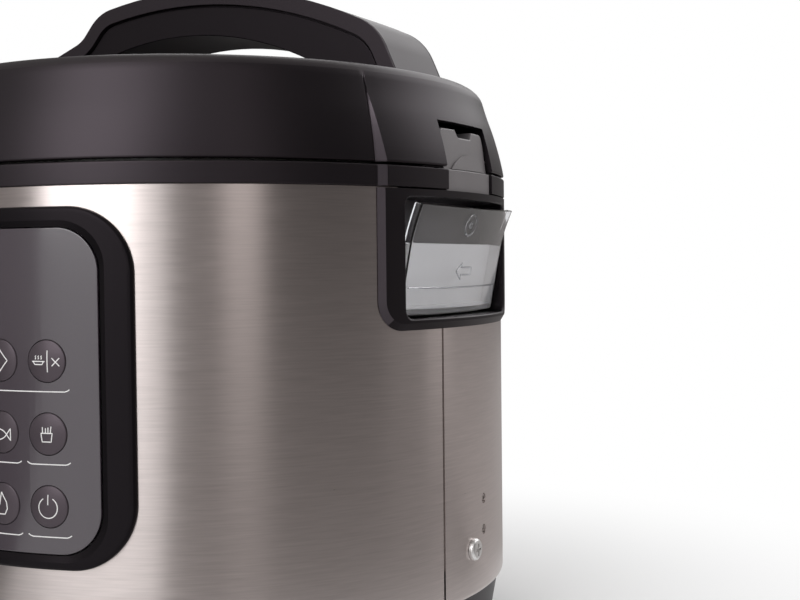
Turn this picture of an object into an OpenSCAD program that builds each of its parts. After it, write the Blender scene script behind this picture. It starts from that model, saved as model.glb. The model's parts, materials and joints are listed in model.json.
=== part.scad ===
// Multicooker with a side-hinged lid, a turning lid handle and a condensate cup.
// The origin is on the standing plane, on the axis of the round body.
// +Z is up, the control panel faces -Y, and the lid hinge is on the +X side.

/* [Body] */
// Radius of the steel shell
shell_r = 140; // [134:1:150]
// Thickness of the steel sheet
shell_t = 0.8; // [0.6:0.1:1.2]
// Height of the steel shell
shell_h = 173; // [168:1:190]
// Height of the plastic base below the shell
base_h = 30; // [26:1:36]
// Height that the feet hold the base above the table
foot_h = 4; // [3:0.5:8]
// Diameter of a foot
foot_d = 26; // [18:1:32]
// Radius of the circle that the feet stand on
foot_circle_r = 100; // [90:1:108]
// Wall thickness of the plastic base
base_wall = 2.5; // [2:0.1:3.5]
// Angle of the shell's seam from the hinge side
seam_angle = -9.6; // [-14:0.1:-7]
// Height of the seam screw above the shell's lower edge
seam_screw_up = 20; // [16:1:26]
// Diameter of the seam screw's head
seam_screw_head_d = 9.4; // [7:0.1:11]

/* [Upper ring] */
// Height of the visible band between shell and lid
band_h = 8.4; // [7:0.1:12]
// How far the band stands proud of the shell
band_proud = 0.8; // [0.4:0.1:1.5]
// Thickness of the band's wall
band_wall = 6; // [5:0.5:8]
// Thickness of the ring's deck
deck_t = 2.4; // [2:0.1:4]

/* [Lid] */
// Gap between the band and the lid
seam_gap = 1; // [0.8:0.1:1.6]
// Height of the lid's upright skirt
lid_skirt_h = 11.6; // [10:0.1:16]
// How far the skirt draws in towards its top
lid_draft = 1; // [0.5:0.1:2]
// Radius of the lid's rounded shoulder
lid_shoulder_r = 31.5; // [27:0.5:34]
// Depth of the finger dish in the lid's top
dish_depth = 5.5; // [3:0.1:7]
// Radius of the dish's floor
dish_r = 84; // [78:1:88]
// Wall thickness of the lid cover
lid_wall = 3; // [2.5:0.1:3.5]
// Half angle of the raised wing over the hinge
wing_angle = 25; // [20:0.5:28]
// How far the wing's lower edge stands proud of the lid
wing_proud = 2; // [1.5:0.1:2.4]

/* [Hinge] */
// Distance of the hinge axis inside the shell's radius
hinge_in = 4.8; // [4.4:0.1:5.6]
// Height of the hinge axis above the band
hinge_up = 5.6; // [5.6:0.1:7]
// Diameter of the hinge pin
hinge_pin_d = 3; // [2.5:0.1:3.4]
// Width of the hinge post
post_w = 41; // [36:1:46]
// Height of the hinge post above the band
post_h = 17.4; // [15:0.1:19]
// Side gap between the post and the lid
post_gap = 1.3; // [0.8:0.1:2]
// Width of each lid ear along the pin
ear_w = 11; // [8:0.5:14]

/* [Condensate cup and its bracket] */
// Width of the bracket along the shell
bracket_w = 123; // [118:1:128]
// Height of the bracket below the band
bracket_h = 57; // [54:0.5:62]
// How far the bracket stands proud of the shell
bracket_proud = 2; // [1.5:0.1:3]
// Corner radius at the bracket's lower edge
bracket_corner_r = 12; // [6:1:16]
// Width of the cup's recess
recess_w = 92; // [90:1:96]
// Height of the cup's recess
recess_h = 48.8; // [47:0.2:51]
// Drop from the bracket's upper edge to the recess
recess_drop = 3.8; // [3:0.1:5]
// Wall thickness of the recess
recess_wall = 2; // [1.5:0.1:2.5]
// Width of the cup
cup_w = 87; // [80:1:88]
// Height of the cup's face above its pivot
cup_face_up = 37; // [34:0.5:37]
// Drop of the cup's floor below its pivot
cup_drop = 9; // [7:0.2:9.4]
// Height of the cup's container above its pivot
cup_rim_up = 20; // [14:0.5:24]
// Depth of the cup's container
cup_depth = 10; // [8:0.5:10.5]
// Wall thickness of the cup
cup_wall = 1.4; // [1:0.1:2]
// Tilt of the cup where it is tipped out
cup_tilt = 11; // [6:0.5:12]
// Diameter of the cup's pivot studs
stud_d = 4; // [3:0.1:5]

/* [Control panel] */
// Width of the panel frame along the shell
panel_w = 131; // [126:1:136]
// Height of the panel frame
panel_h = 135.4; // [130:0.2:140]
// Drop from the shell's upper edge to the frame
panel_drop = 7.8; // [6:0.1:12]
// Corner radius of the frame
panel_corner_r = 25; // [18:1:30]
// Width of the frame's side border
panel_side = 13; // [10:0.5:15]
// Width of the frame's upper border
panel_top = 7.8; // [6:0.1:9]
// Width of the frame's lower border
panel_bottom = 5.6; // [5:0.1:9]
// Corner radius of the panel face
face_corner_r = 16.5; // [10:0.5:18]
// How far the frame stands proud of the shell
panel_proud = 2.4; // [1.6:0.1:3]
// Thickness of the panel face
face_t = 1.8; // [1.4:0.1:2.4]
// Diameter of a button
button_d = 15.9; // [13:0.1:17]
// Distance between button columns along the shell
button_pitch = 20.8; // [20:0.1:22]
// Distance between button rows
button_row = 27.2; // [22:0.1:30]
// Height of the lowest button row above the frame's lower edge
button_low = 23.6; // [20:0.1:28]
// Height of a button's dome above the panel face
button_dome = 0.9; // [0.6:0.1:1.4]
// Running gap round a button
button_gap = 0.3; // [0.2:0.05:0.5]

/* [Pot] */
// Outer radius of the inner pot
pot_r = 105; // [100:0.5:106]
// Height of the inner pot below its rim
pot_h = 161; // [150:1:164]
// Wall thickness of the inner pot
pot_wall = 1.6; // [1.2:0.1:2]
// Width of the pot's rim
rim_w = 5.5; // [4.5:0.1:6]
// Radius of the pot's floor corner
pot_corner_r = 14; // [8:1:20]

/* [Handle] */
// Width of the lid handle
handle_w = 44; // [36:1:48]
// Height of the handle above the lid's rim
handle_h = 44; // [40:1:50]
// Length of the handle's hinge-side end from the lid's axis
handle_reach = 116; // [113:0.5:118]
// Length of the handle's far end from the lid's axis
handle_far = 108; // [104:0.5:112]
// Height of the finger gap's crown above the lid's rim
grip_up = 23.5; // [20:0.5:26]
// Half length of the finger gap at the lid's rim
grip_half = 84; // [76:1:86]
// Thickness of the handle's cap
cap_t = 7; // [5:0.5:9]

/* [Heater] */
// Radius of the heating plate
plate_r = 80; // [70:1:90]
// Thickness of the heating plate
plate_t = 9; // [7:0.5:10]
// Radius of the sensor's opening in the plate
sensor_hole_r = 17; // [15:0.5:19]

/* [Hidden] */
$fn = 96;

// General clearances
fit = 0.02;
seat = 0.05;
run = 0.4;
soft_gap = 0.3;
beyond = 1;
far = 400;

// Heights of the body, from the table upwards
z_shell0 = base_h;
z_shell1 = z_shell0 + shell_h;
z_band1 = z_shell1 + band_h;
z_deck1 = z_shell1 + deck_t;
shell_in = shell_r - shell_t;
band_r = shell_r + band_proud;
band_in = band_r - band_wall;

// Base pan
pan_r0 = shell_r - 5;
pan_r1 = shell_r - 2;
pan_round = 8;
pan_slope = 5;
lip_h = 1.5;
lip_w = 2;
pan_neck_r = shell_in - lip_w - soft_gap;
pan_neck_h = 13;
pan_floor_t = 3;
foot_recess = 1;
foot_taper = 1.5;
vent_count = 9;
vent_pitch = 8;
vent_w = 3;
vent_l = 34;
vent_y = -70;
pan_floor_z = foot_h + pan_floor_t;
boss_circle_r = 94;
boss_r = 6;
screw_r = 1.9;
screw_head_r = 3.6;
screw_head_t = 2;
screw_bite = 8;

// Shell, its seam and its small holes
hem_in = 0.4;
seam_w = 1;
seam_depth = 20;
screw_slack = 0.2;
side_hole_r = 2.2;
side_hole_angle = 4.75;
side_hole_ups = [6.5, 20];
strip_half = 38;
strip_t = 1;
strip_gap = 2;
head_h = 2.6;
head_round = 1.6;
head_flat = 0.8;
cross_l = 5.2;
cross_w = 1;
cross_z = 1.2;

// Upper ring
ring_skirt_h = 8;
ring_skirt_w = 3;
deck_lap = 4.5;
ring_gap = 2;
post_slack = 0.5;
pad_inset = 0.1;
pad_lap = 2;

// Liner and heater
liner_t = 1;
liner_gap = 9;
liner_in = pot_r + liner_gap;
liner_r = liner_in + liner_t;
liner_up = 17;
liner_floor_z = pan_floor_z + liner_up;
liner_flange_w = 10;
ledge_t = 1.6;
z_rim0 = z_deck1 + ledge_t;
z_rim1 = z_rim0 + pot_wall;
z_pot0 = z_rim0 - pot_h;
plate_leg_r = 5;
plate_leg_circle_r = 68;
element_r = 3.5;
element_circle_r = 56;
element_open = 40;
terminal_in = 6;
terminal_r = 2.5;
sensor_gap = 1;
sensor_r = sensor_hole_r - 2.5;
sensor_flange_r = sensor_hole_r - sensor_gap;
sensor_stem_r = 6;
sensor_stem_gap = 2;
sensor_cap_drop = 3;
sensor_cap_h = plate_t + sensor_cap_drop;
sensor_flange_t = 2;
sensor_flange_z = z_pot0 - soft_gap - sensor_cap_h;
spring_in = 3;
spring_r = sensor_flange_r - spring_in;
spring_wire = 1.5;
fuse_r = 3;
fuse_l = 22;
fuse_x = 20;
fuse_y = 30;
fuse_drop = 3.2;
fuse_tab = [10, 8, 0.7];

// Locking bayonet between body and lid
rim_r = pot_r + rim_w;
flange_in = rim_r + run;
flange_t = 1.5;
flange_r = flange_in + flange_t;
lug_w = 3.8;
lug_t = 2.5;
lug_half = 9;
lug_angles = [90, 150, 210, 270];
lug_up = 4.1;
z_lug1 = z_band1 + lug_up;
lug_sink = 0.5;
lug_gap = 1.5;
lock_turn = 25;
lock_gap = 1.4;
lock_in = flange_r + lug_w + lock_gap;
lock_t = 1.4;
lock_r = lock_in + lock_t;
lock_drop = 2.2;
z_lock0 = z_band1 - lock_drop;

// Lid
z_lid0 = z_band1 + seam_gap;
z_arc = z_lid0 + lid_skirt_h;
z_rim = z_arc + lid_shoulder_r;
lid_r0 = shell_r;
lid_r1 = shell_r - lid_draft;
arc_r = lid_r1 - lid_shoulder_r;
dish_z = z_rim - dish_depth;
dish_fillet = dish_depth / 2;
rim_flat = 8;
dish_top_r = arc_r - rim_flat;
handle_gap = 0.6;
wing_edge = 1;
wing_fade = 0.3;
wing_top = 72;
wing_sink = 0.5;
ring_arm_t = 2.5;
arm_drop = 8;
z_arm1 = dish_z - lid_wall - arm_drop;
z_arm0 = z_arm1 - ring_arm_t;
arm_w = 18;
arm_angles = [45, 165, 285];
arm_lap = 4;
hub_r = 20;
shaft_r = 11.5;
shaft_hole_r = shaft_r + post_slack;
post_angles = [118, 238, 358];
lid_post_circle_r = 80;
lid_post_r = 6;

// Inner lid and seal
inner_t = 1.2;
seal_h = 3.1;
z_seal0 = z_rim1 + soft_gap;
z_seal1 = z_seal0 + seal_h;
seal_lip = 1.2;
seal_chamfer = 0.8;
inner_flange_r = rim_r - soft_gap;
inner_gap = 2;
inner_wall_r = pot_r - inner_gap;
inner_slope = 4;
inner_top_r = inner_wall_r - inner_slope;
inner_drop = 11;
z_inner1 = z_arm0 - inner_drop;
seal_in = inner_wall_r - 1;

// Valves in the lid
pipe_angle = 100;
float_angle = 138;
valve_circle_r = 62;
pipe_r = 4.5;
pipe_bore_r = 2;
pipe_up = 8;
pipe_down = 3;
pipe_collar_w = 3;
pipe_collar_h = 3;
weight_r = 11;
weight_h = 16;
weight_clear = 2;
weight_neck = 3;
weight_neck_h = 5;
weight_chamfer = 2;
weight_bore_r = pipe_r + run;
filter_r = 10;
filter_h = 7;
filter_wall = 1;
filter_slot = [4, 2, 3];
float_r = 2.6;
float_hole_r = float_r + run;
float_disc_r = 6;
float_disc_t = 3;
float_travel = 3;
float_slack = 0.5;
gasket_t = 1.5;

// Hinge
hinge_x = shell_r - hinge_in;
hinge_z = z_band1 + hinge_up;
pin_r = hinge_pin_d / 2;
barrel_r = hinge_up - run;
ear_in = 0.3;
post_sink = 0.6;
post_front_r = shell_r - post_sink;
post_back = 5.7;
post_in = hinge_x - post_back;
slot_half = post_w / 2 + post_gap;
z_post1 = z_band1 + post_h;
post_corner_r = 4;
slot_gap = 1.7;
slot_r = sqrt(pow(hinge_x - post_in, 2) + pow(z_post1 - hinge_z, 2)) + slot_gap;
pin_half = slot_half + ear_w;
pin_end_gap = 0.5;

// Bracket and cup
function chord(arc) = 2 * shell_r * sin(arc / 2 / shell_r * 180 / PI);
bracket_r = shell_r + bracket_proud;
bracket_z0 = z_shell1 - bracket_h;
recess_z1 = z_shell1 - recess_drop;
recess_z0 = recess_z1 - recess_h;
recess_gap = 4.5;
recess_back = liner_r + recess_gap + recess_wall;
box_half = recess_w / 2 + recess_wall;
box_gap = 0.6;
opening_half = box_half + box_gap;
pivot_in = 12;
pivot_x = shell_r - pivot_in;
cup_floor_gap = 1.6;
pivot_z = recess_z0 + cup_drop + cup_floor_gap;
cup_forward = 5.7;
cup_front = pivot_x + cup_forward;
cup_bulge = 3;
cup_plan_r = (pow(cup_w / 2, 2) + pow(cup_bulge, 2)) / (2 * cup_bulge);
stud_reach = 2;
stud_end_gap = 0.5;
emboss_t = 0.5;
boss_mark_r = 6;
boss_mark_drop = 2;

// Reach of the lid's lower edge as it swings past the ring beside the hinge post
sweep_half = 30;
sweep_x = sqrt(pow(bracket_r, 2) - pow(slot_half, 2)) - hinge_x;
sweep_r = sqrt(pow(sweep_x, 2) + pow(hinge_z - z_lid0 - wing_edge, 2)) + run;

// Panel
panel_r = shell_r + panel_proud;
panel_z1 = z_shell1 - panel_drop;
panel_zc = panel_z1 - panel_h / 2;
panel_z0 = panel_z1 - panel_h;
face_w = panel_w - 2 * panel_side;
face_h = panel_h - panel_top - panel_bottom;
face_zc = panel_z0 + panel_bottom + face_h / 2;
face_gap = 0.3;
face_proud = 1;
face_r = shell_r + face_proud;
face_in = face_r - face_t;
cut_gap = 1;
columns = 4;
rows = 3;
function button_angle(c) = (c - (columns + 1) / 2) * button_pitch / shell_r * 180 / PI;
function button_z(r) = panel_z0 + button_low + (rows - r) * button_row;
button_flange = 0.9;
button_flange_t = 1.2;
button_stem_r = 2;
button_sink = 1;
board_t = 1.6;
board_gap = 7;
board_y = liner_r + board_gap;
board_w = 88;
board_h = 112;
switch_w = 6;
switch_h = 3.4;
press_room = 1.2;
peg_r = 2.5;
peg_in = 4;
peg_sink = 0.7;
display_w = 44;
display_d = 9;
display_h = 20;
display_up = 14;

// Power parts
inlet_up = 34;
inlet_zc = z_shell0 + inlet_up;
inlet_w = 50;
inlet_h = 32;
inlet_corner_r = 5;
inlet_proud = 2.5;
inlet_lap = 4;
inlet_cut_r = 3;
socket_w = 25;
socket_h = 17;
socket_depth = 14;
socket_wall = 2.5;
socket_r = 2;
pin_pitch = 8;
pin_w = 2;
pin_h = 4;
pin_gap = 0.2;
pin_up = 2.5;
pin_down = 3.5;
pin_tail = 4;
pin_recess = 6;
power_board_x = -32;
power_board_y = 18;
power_board_w = 74;
power_board_d = 56;
stand_off = 4;
stand_in = 6;
stand_r = 3;
relay = [20, 17, 9];
relay_at = [6, 12, 0];
transformer = [18, 12, 10];
transformer_at = [32, 10, 0];
terminal_block = [8, 12, 8];
terminal_block_at = [57, 8, 0];
capacitors = [[5, 10], [4, 9]];
capacitors_at = [[40, 38, 0], [56, 36, 0]];

// Handle
z_handle1 = z_rim + handle_h;
bar_t = 3.9;
bar_in = 5;
bar_w = handle_w - 2 * bar_in;
bar_past = 8;
bar_half = grip_half + bar_past;
bar_z0 = dish_z + handle_gap;
bar_z1 = bar_z0 + bar_t;
hub_disc_r = 34;
arch_in = 1.5;
grip_r = (pow(grip_half, 2) + pow(grip_up, 2)) / (2 * grip_up);
grip_toe = 10;
crown_r = 230;
crown_end = 17;
end_r = 26;
end_slope = 66;
saddle_start = 10;
saddle_r = 22;
saddle_slope = 48;
saddle_drop = 3.5;
saddle_fillet = 16;
tail_slope = 20;
tail_r = 14;
tail_end = 10;
foot_z = z_arc;
handle_screw_x = grip_half + bar_past / 2;
handle_screw_y = bar_w / 2 - 6;
handle_screw_in = 1;
handle_screw_up = 6;

// Points along an arc, from angle a0 to angle a1
function arc_points(cx, cy, r, a0, a1, n) =
    [for (i = [0 : n]) let (a = a0 + (a1 - a0) * i / n) [cx + r * cos(a), cy + r * sin(a)]];

// Outline of the lid's outer surface, moved outwards by off
function lid_outline(off) = concat(
    [[lid_r0 + off, z_lid0]],
    arc_points(arc_r, z_arc, lid_shoulder_r + off, 0, 90, 10),
    [[dish_top_r, z_rim + off]],
    arc_points(dish_r, dish_z + dish_depth - dish_fillet + off, dish_fillet, -60, -90, 3),
    [[0, dish_z + off]]
);

// How far the wing stands proud at angle a of the lid's shoulder
function wing_off(a) = a > wing_top ? 0 : wing_proud + (wing_fade - wing_proud) * a / wing_top;

// Points of the shoulder at the wing's surface, moved outwards by off, from angle a0 to angle a1
function wing_points(off, a0, a1, n) =
    [for (i = [0 : n]) let (a = a0 + (a1 - a0) * i / n, r = lid_shoulder_r + wing_off(a) + off)
        [arc_r + r * cos(a), z_arc + r * sin(a)]];

// Side view of the handle as stations: distance from the lid's axis, height and slope downwards
function last(list) = list[len(list) - 1];

// Stations along an arc that turns from the station start to slope t1; a hollow arc has a negative r
function turned(start, r, t1, n) =
    [for (i = [1 : n]) let (t0 = start[2], t = t0 + (t1 - t0) * i / n)
        [start[0] + r * (sin(t) - sin(t0)), start[1] - r * (cos(t0) - cos(t)), t]];

// The station that lies dx further out along a straight stretch
function slid(start, dx) = [[start[0] + dx, start[1] - dx * tan(start[2]), start[2]]];

// The station where a straight stretch comes down to the feet
function to_foot(start) = slid(start, (start[1] - foot_z) / tan(start[2]));

crown = [[0, z_handle1, 0]];
near_top = turned(crown[0], crown_r, asin((handle_reach - crown_end) / crown_r), 8);
near_end = turned(last(near_top), end_r, end_slope, 5);
near_path = concat(near_top, near_end, to_foot(last(near_end)));
far_top = turned(crown[0], crown_r, saddle_start, 3);
far_drop = turned(last(far_top), saddle_r, saddle_slope, 4);
far_fall = slid(last(far_drop), saddle_drop);
far_fillet = turned(far_fall[0], -saddle_fillet, tail_slope, 4);
far_tail = slid(last(far_fillet), handle_far - tail_end - last(far_fillet)[0]);
far_end = turned(far_tail[0], tail_r, end_slope, 4);
far_path = concat(far_top, far_drop, far_fall, far_fillet, far_tail, far_end, to_foot(last(far_end)));

// Outline of the handle from its far foot to its near foot, sunk by s
function handle_outline(s) = concat(
    [for (i = [len(far_path) - 1 : -1 : 0]) let (p = far_path[i])
        [-p[0] + s * sin(p[2]), p[1] - s * cos(p[2])]],
    [[0, z_handle1 - s]],
    [for (p = near_path) [p[0] - s * sin(p[2]), p[1] - s * cos(p[2])]]
);

module tube(r_out, r_in, z0, z1) {
    translate([0, 0, z0]) difference() {
        cylinder(r = r_out, h = z1 - z0);
        translate([0, 0, -beyond]) cylinder(r = r_in, h = z1 - z0 + 2 * beyond);
    }
}

module round_rect(w, h, r) {
    square([w - 2 * r, h], center = true);
    square([w, h - 2 * r], center = true);
    for (sx = [-1, 1], sy = [-1, 1])
        translate([sx * (w / 2 - r), sy * (h / 2 - r)]) circle(r = r, $fn = 48);
}

// Prism through the front wall, centred at height zc
module front_prism(w, h, r, zc) {
    translate([0, 0, zc]) rotate([90, 0, 0]) linear_extrude(far) round_rect(w, h, r);
}

// Prism through the hinge side's wall, centred at height zc
module side_prism(w, h, r, zc) {
    translate([0, 0, zc]) rotate([90, 0, 90]) linear_extrude(far) round_rect(w, h, r);
}

// Box on the hinge side between x0 and x1, and z0 and z1
module side_box(half, x0, x1, z0, z1) {
    translate([x0, -half, z0]) cube([x1 - x0, 2 * half, z1 - z0]);
}

// Cylinder along Y through x and z, between y = -half and y = half
module cross_rod(r, x, z, half) {
    translate([x, half, z]) rotate([90, 0, 0]) cylinder(r = r, h = 2 * half);
}

module at_polar(r, a) {
    rotate([0, 0, a]) translate([r, 0, 0]) children();
}

module screw(head_r, head_t, length) {
    cylinder(r = screw_r, h = length);
    translate([0, 0, -head_t]) cylinder(r = head_r, h = head_t);
}

module base_pan() {
    color([0.08, 0.08, 0.09]) difference() {
        union() {
            rotate_extrude() polygon(concat(
                [[0, foot_h], [pan_r0 - pan_round, foot_h]],
                arc_points(pan_r0 - pan_round, foot_h + pan_round, pan_round, -90, -30, 4),
                [[pan_r1, z_shell0], [pan_neck_r, z_shell0], [pan_neck_r, z_shell0 + pan_neck_h],
                 [pan_neck_r - base_wall, z_shell0 + pan_neck_h],
                 [pan_neck_r - base_wall, z_shell0 - base_wall],
                 [pan_r0 - base_wall, pan_floor_z + pan_slope], [pan_r0 - pan_round, pan_floor_z],
                 [0, pan_floor_z]]
            ));
            for (a = [0, 90, 180, 270]) at_polar(boss_circle_r, a)
                translate([0, 0, pan_floor_z]) cylinder(r = boss_r, h = liner_floor_z - pan_floor_z);
        }
        for (a = [45 : 90 : 315]) at_polar(foot_circle_r, a)
            translate([0, 0, foot_h - beyond]) cylinder(d = foot_d, h = foot_recess + beyond);
        for (a = [0, 90, 180, 270]) at_polar(boss_circle_r, a) {
            translate([0, 0, foot_h - beyond]) cylinder(r = screw_r + seat, h = far);
            translate([0, 0, foot_h - beyond])
                cylinder(r = screw_head_r + seat, h = screw_head_t + beyond);
        }
        for (i = [0 : vent_count - 1])
            translate([(i - (vent_count - 1) / 2) * vent_pitch - vent_w / 2, vent_y, foot_h - beyond])
                cube([vent_w, vent_l, pan_floor_t + 2 * beyond]);
    }
}

module rubber_feet() {
    color([0.14, 0.14, 0.14]) for (a = [45 : 90 : 315]) at_polar(foot_circle_r, a) {
        cylinder(d1 = foot_d - 2 * foot_taper, d2 = foot_d - seat, h = foot_taper);
        translate([0, 0, foot_taper])
            cylinder(d = foot_d - seat, h = foot_h + foot_recess - foot_taper);
    }
}

module base_screws() {
    color([0.7, 0.7, 0.72]) for (a = [0, 90, 180, 270]) at_polar(boss_circle_r, a)
        translate([0, 0, foot_h + screw_head_t])
            screw(screw_head_r, screw_head_t, liner_floor_z + liner_t - foot_h - screw_head_t);
}

module outer_shell() {
    color([0.72, 0.71, 0.70]) difference() {
        union() {
            tube(shell_r, shell_in, z_shell0, z_shell1);
            tube(shell_r - hem_in, shell_in - lip_w, z_shell0, z_shell0 + lip_h);
        }
        front_prism(chord(face_w) + 2 * cut_gap, face_h + 2 * cut_gap, face_corner_r, face_zc);
        side_box(opening_half, liner_r, far, recess_z0 - recess_wall - box_gap, z_shell1 + beyond);
        rotate([0, 0, 180])
            front_prism(inlet_w - 2 * inlet_lap, inlet_h - 2 * inlet_lap, inlet_cut_r, inlet_zc);
        rotate([0, 0, seam_angle])
            translate([shell_in - seam_depth / 2, -seam_w / 2, z_shell0 - beyond])
                cube([seam_depth, seam_w, recess_z0 - z_shell0]);
        translate([0, 0, z_shell0 + seam_screw_up]) rotate([0, 90, 0])
            cylinder(r = screw_r + screw_slack, h = far);
        for (up = side_hole_ups) rotate([0, 0, side_hole_angle])
            translate([0, 0, z_shell0 + seam_screw_up + up]) rotate([0, 90, 0])
                cylinder(r = side_hole_r, h = far);
    }
}

module seam_strip() {
    color([0.45, 0.45, 0.45]) difference() {
        intersection() {
            tube(shell_in - seat, shell_in - strip_t,
                 z_shell0 + pan_neck_h + strip_gap, recess_z0 - recess_wall - strip_gap);
            side_box(strip_half, liner_r, far, z_shell0, z_shell1);
        }
        translate([0, 0, z_shell0 + seam_screw_up]) rotate([0, 90, 0])
            cylinder(r = screw_r + seat, h = far);
    }
}

module shell_screw() {
    head_r = seam_screw_head_d / 2;
    color([0.8, 0.8, 0.8]) translate([shell_r + seat, 0, z_shell0 + seam_screw_up])
        rotate([0, 90, 0]) difference() {
            union() {
                translate([0, 0, -screw_bite]) cylinder(r = screw_r, h = screw_bite);
                rotate_extrude() polygon(concat(
                    [[0, 0], [head_r, 0]],
                    arc_points(head_r - head_round, head_flat, head_round, 0, 70, 4),
                    [[0, head_h]]
                ));
            }
            for (a = [0, 90]) rotate([0, 0, a])
                translate([-cross_l / 2, -cross_w / 2, cross_z]) cube([cross_l, cross_w, head_h]);
        }
}

module upper_ring() {
    deck_in = flange_in - deck_lap;
    skirt_r = shell_in - soft_gap;
    skirt_in = shell_in - ring_skirt_w;
    skirt_z = z_shell1 - ring_skirt_h;
    color([0.16, 0.16, 0.17]) difference() {
        union() {
            rotate_extrude() polygon([
                [deck_in, z_shell1], [skirt_in, z_shell1], [skirt_in, skirt_z], [skirt_r, skirt_z],
                [skirt_r, z_shell1], [band_r, z_shell1], [band_r, z_band1], [band_in, z_band1],
                [band_in, z_deck1], [deck_in, z_deck1]
            ]);
            rotate([0, 0, -wing_angle]) rotate_extrude(angle = 2 * wing_angle)
                translate([band_r - pad_lap, z_shell1 + pad_inset])
                    square([bracket_r - band_r + pad_lap, band_h - 2 * pad_inset]);
        }
        side_box(chord(bracket_w) / 2 + ring_gap, liner_r, far, skirt_z - beyond, z_shell1);
        side_box(post_w / 2 + post_slack, post_in - post_slack, far, z_shell1 - beyond, far);
        cross_rod(sweep_r, hinge_x, hinge_z, sweep_half);
    }
}

module hinge_bracket() {
    color([0.07, 0.07, 0.08]) difference() {
        union() {
            intersection() {
                tube(bracket_r, shell_r + seat, bracket_z0, z_shell1 - seat);
                side_prism(chord(bracket_w), 2 * bracket_h, bracket_corner_r, z_shell1);
            }
            intersection() {
                cylinder(r = bracket_r, h = far);
                side_box(box_half, recess_back - recess_wall, far,
                         recess_z0 - recess_wall, z_shell1 - seat);
            }
            intersection() {
                cylinder(r = band_r, h = z_band1);
                side_box(post_w / 2, post_in, far, recess_z1, z_band1);
            }
            intersection() {
                cylinder(r = post_front_r, h = far);
                translate([0, 0, z_band1]) rotate([90, 0, 90]) linear_extrude(far)
                    round_rect(post_w, 2 * post_h, post_corner_r);
                side_box(post_w, post_in, far, z_band1 - beyond, far);
            }
        }
        side_box(recess_w / 2, recess_back, far, recess_z0, recess_z1);
        translate([0, 0, -beyond]) side_box(box_half, liner_r, recess_back - recess_wall, 0, far);
        cross_rod(pin_r + fit, hinge_x, hinge_z, far / 2);
        cross_rod(stud_d / 2 + seat, pivot_x, pivot_z, recess_w / 2 + stud_reach);
    }
}

module hinge_pin() {
    color([0.75, 0.75, 0.76]) cross_rod(pin_r, hinge_x, hinge_z, pin_half - pin_end_gap);
}

// The cup as it sits upright, before it is tipped out
module upright_cup() {
    z0 = pivot_z - cup_drop;
    z1 = pivot_z + cup_rim_up;
    z2 = pivot_z + cup_face_up;
    back = cup_front - cup_depth;
    difference() {
        union() {
            intersection() {
                translate([cup_front - cup_plan_r, 0, z0]) cylinder(r = cup_plan_r, h = z2 - z0);
                side_box(cup_w / 2, back, far, z0, z2);
            }
            cross_rod(stud_d / 2, pivot_x, pivot_z, recess_w / 2 + stud_reach - stud_end_gap);
        }
        intersection() {
            translate([cup_front - cup_plan_r, 0, z0 + cup_wall])
                cylinder(r = cup_plan_r - cup_wall, h = far);
            side_box(cup_w / 2 - cup_wall, back + cup_wall, far, z0 + cup_wall, far);
        }
        intersection() {
            translate([cup_front - cup_plan_r, 0, z1])
                cylinder(r = cup_plan_r - cup_wall, h = far);
            side_box(cup_w, back - beyond, far, z1, far);
        }
    }
    intersection() {
        translate([cup_front - cup_plan_r, 0, z1])
            cylinder(r = cup_plan_r - cup_wall / 2, h = z2 - z1);
        translate([cup_front - cup_wall - emboss_t, 0, z2 - boss_mark_r - boss_mark_drop])
            rotate([0, 90, 0]) cylinder(r = boss_mark_r, h = far);
    }
}

module condensate_cup() {
    color([0.80, 0.85, 0.92, 0.6])
        translate([pivot_x, 0, pivot_z]) rotate([0, cup_tilt, 0]) translate([-pivot_x, 0, -pivot_z])
            upright_cup();
}

module inner_liner() {
    stem_hole_r = sensor_stem_r + sensor_stem_gap;
    color([0.62, 0.62, 0.64]) difference() {
        rotate_extrude() polygon([
            [stem_hole_r, liner_floor_z], [liner_r, liner_floor_z],
            [liner_r, z_shell1 - liner_t], [liner_r + liner_flange_w, z_shell1 - liner_t],
            [liner_r + liner_flange_w, z_shell1], [liner_in, z_shell1],
            [liner_in, liner_floor_z + liner_t], [stem_hole_r, liner_floor_z + liner_t]
        ]);
        for (a = [0, 90, 180, 270]) at_polar(boss_circle_r, a)
            translate([0, 0, liner_floor_z - beyond])
                cylinder(r = screw_r + seat, h = liner_t + 2 * beyond);
        side_box(box_half + box_gap, recess_back - recess_wall - box_gap, far,
                 z_shell1 - liner_t - beyond, far);
    }
}

module heating_plate() {
    color([0.70, 0.70, 0.72]) difference() {
        union() {
            translate([0, 0, z_pot0 - plate_t]) cylinder(r = plate_r, h = plate_t);
            for (a = [30, 150, 270]) at_polar(plate_leg_circle_r, a)
                translate([0, 0, liner_floor_z + liner_t])
                    cylinder(r = plate_leg_r, h = z_pot0 - plate_t - liner_floor_z - liner_t + beyond);
        }
        translate([0, 0, z_pot0 - plate_t - beyond])
            cylinder(r = sensor_hole_r, h = plate_t + 2 * beyond);
    }
}

module heating_element() {
    z = z_pot0 - plate_t - element_r - seat;
    terminal_h = z - liner_floor_z - liner_t - soft_gap;
    color([0.35, 0.33, 0.32]) {
        translate([0, 0, z]) rotate([0, 0, element_open / 2]) rotate_extrude(angle = 360 - element_open)
            translate([element_circle_r, 0]) circle(r = element_r, $fn = 32);
        for (s = [-1, 1]) at_polar(element_circle_r, s * (element_open / 2 + terminal_in))
            translate([0, 0, z - terminal_h]) cylinder(r = terminal_r, h = terminal_h);
    }
}

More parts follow.
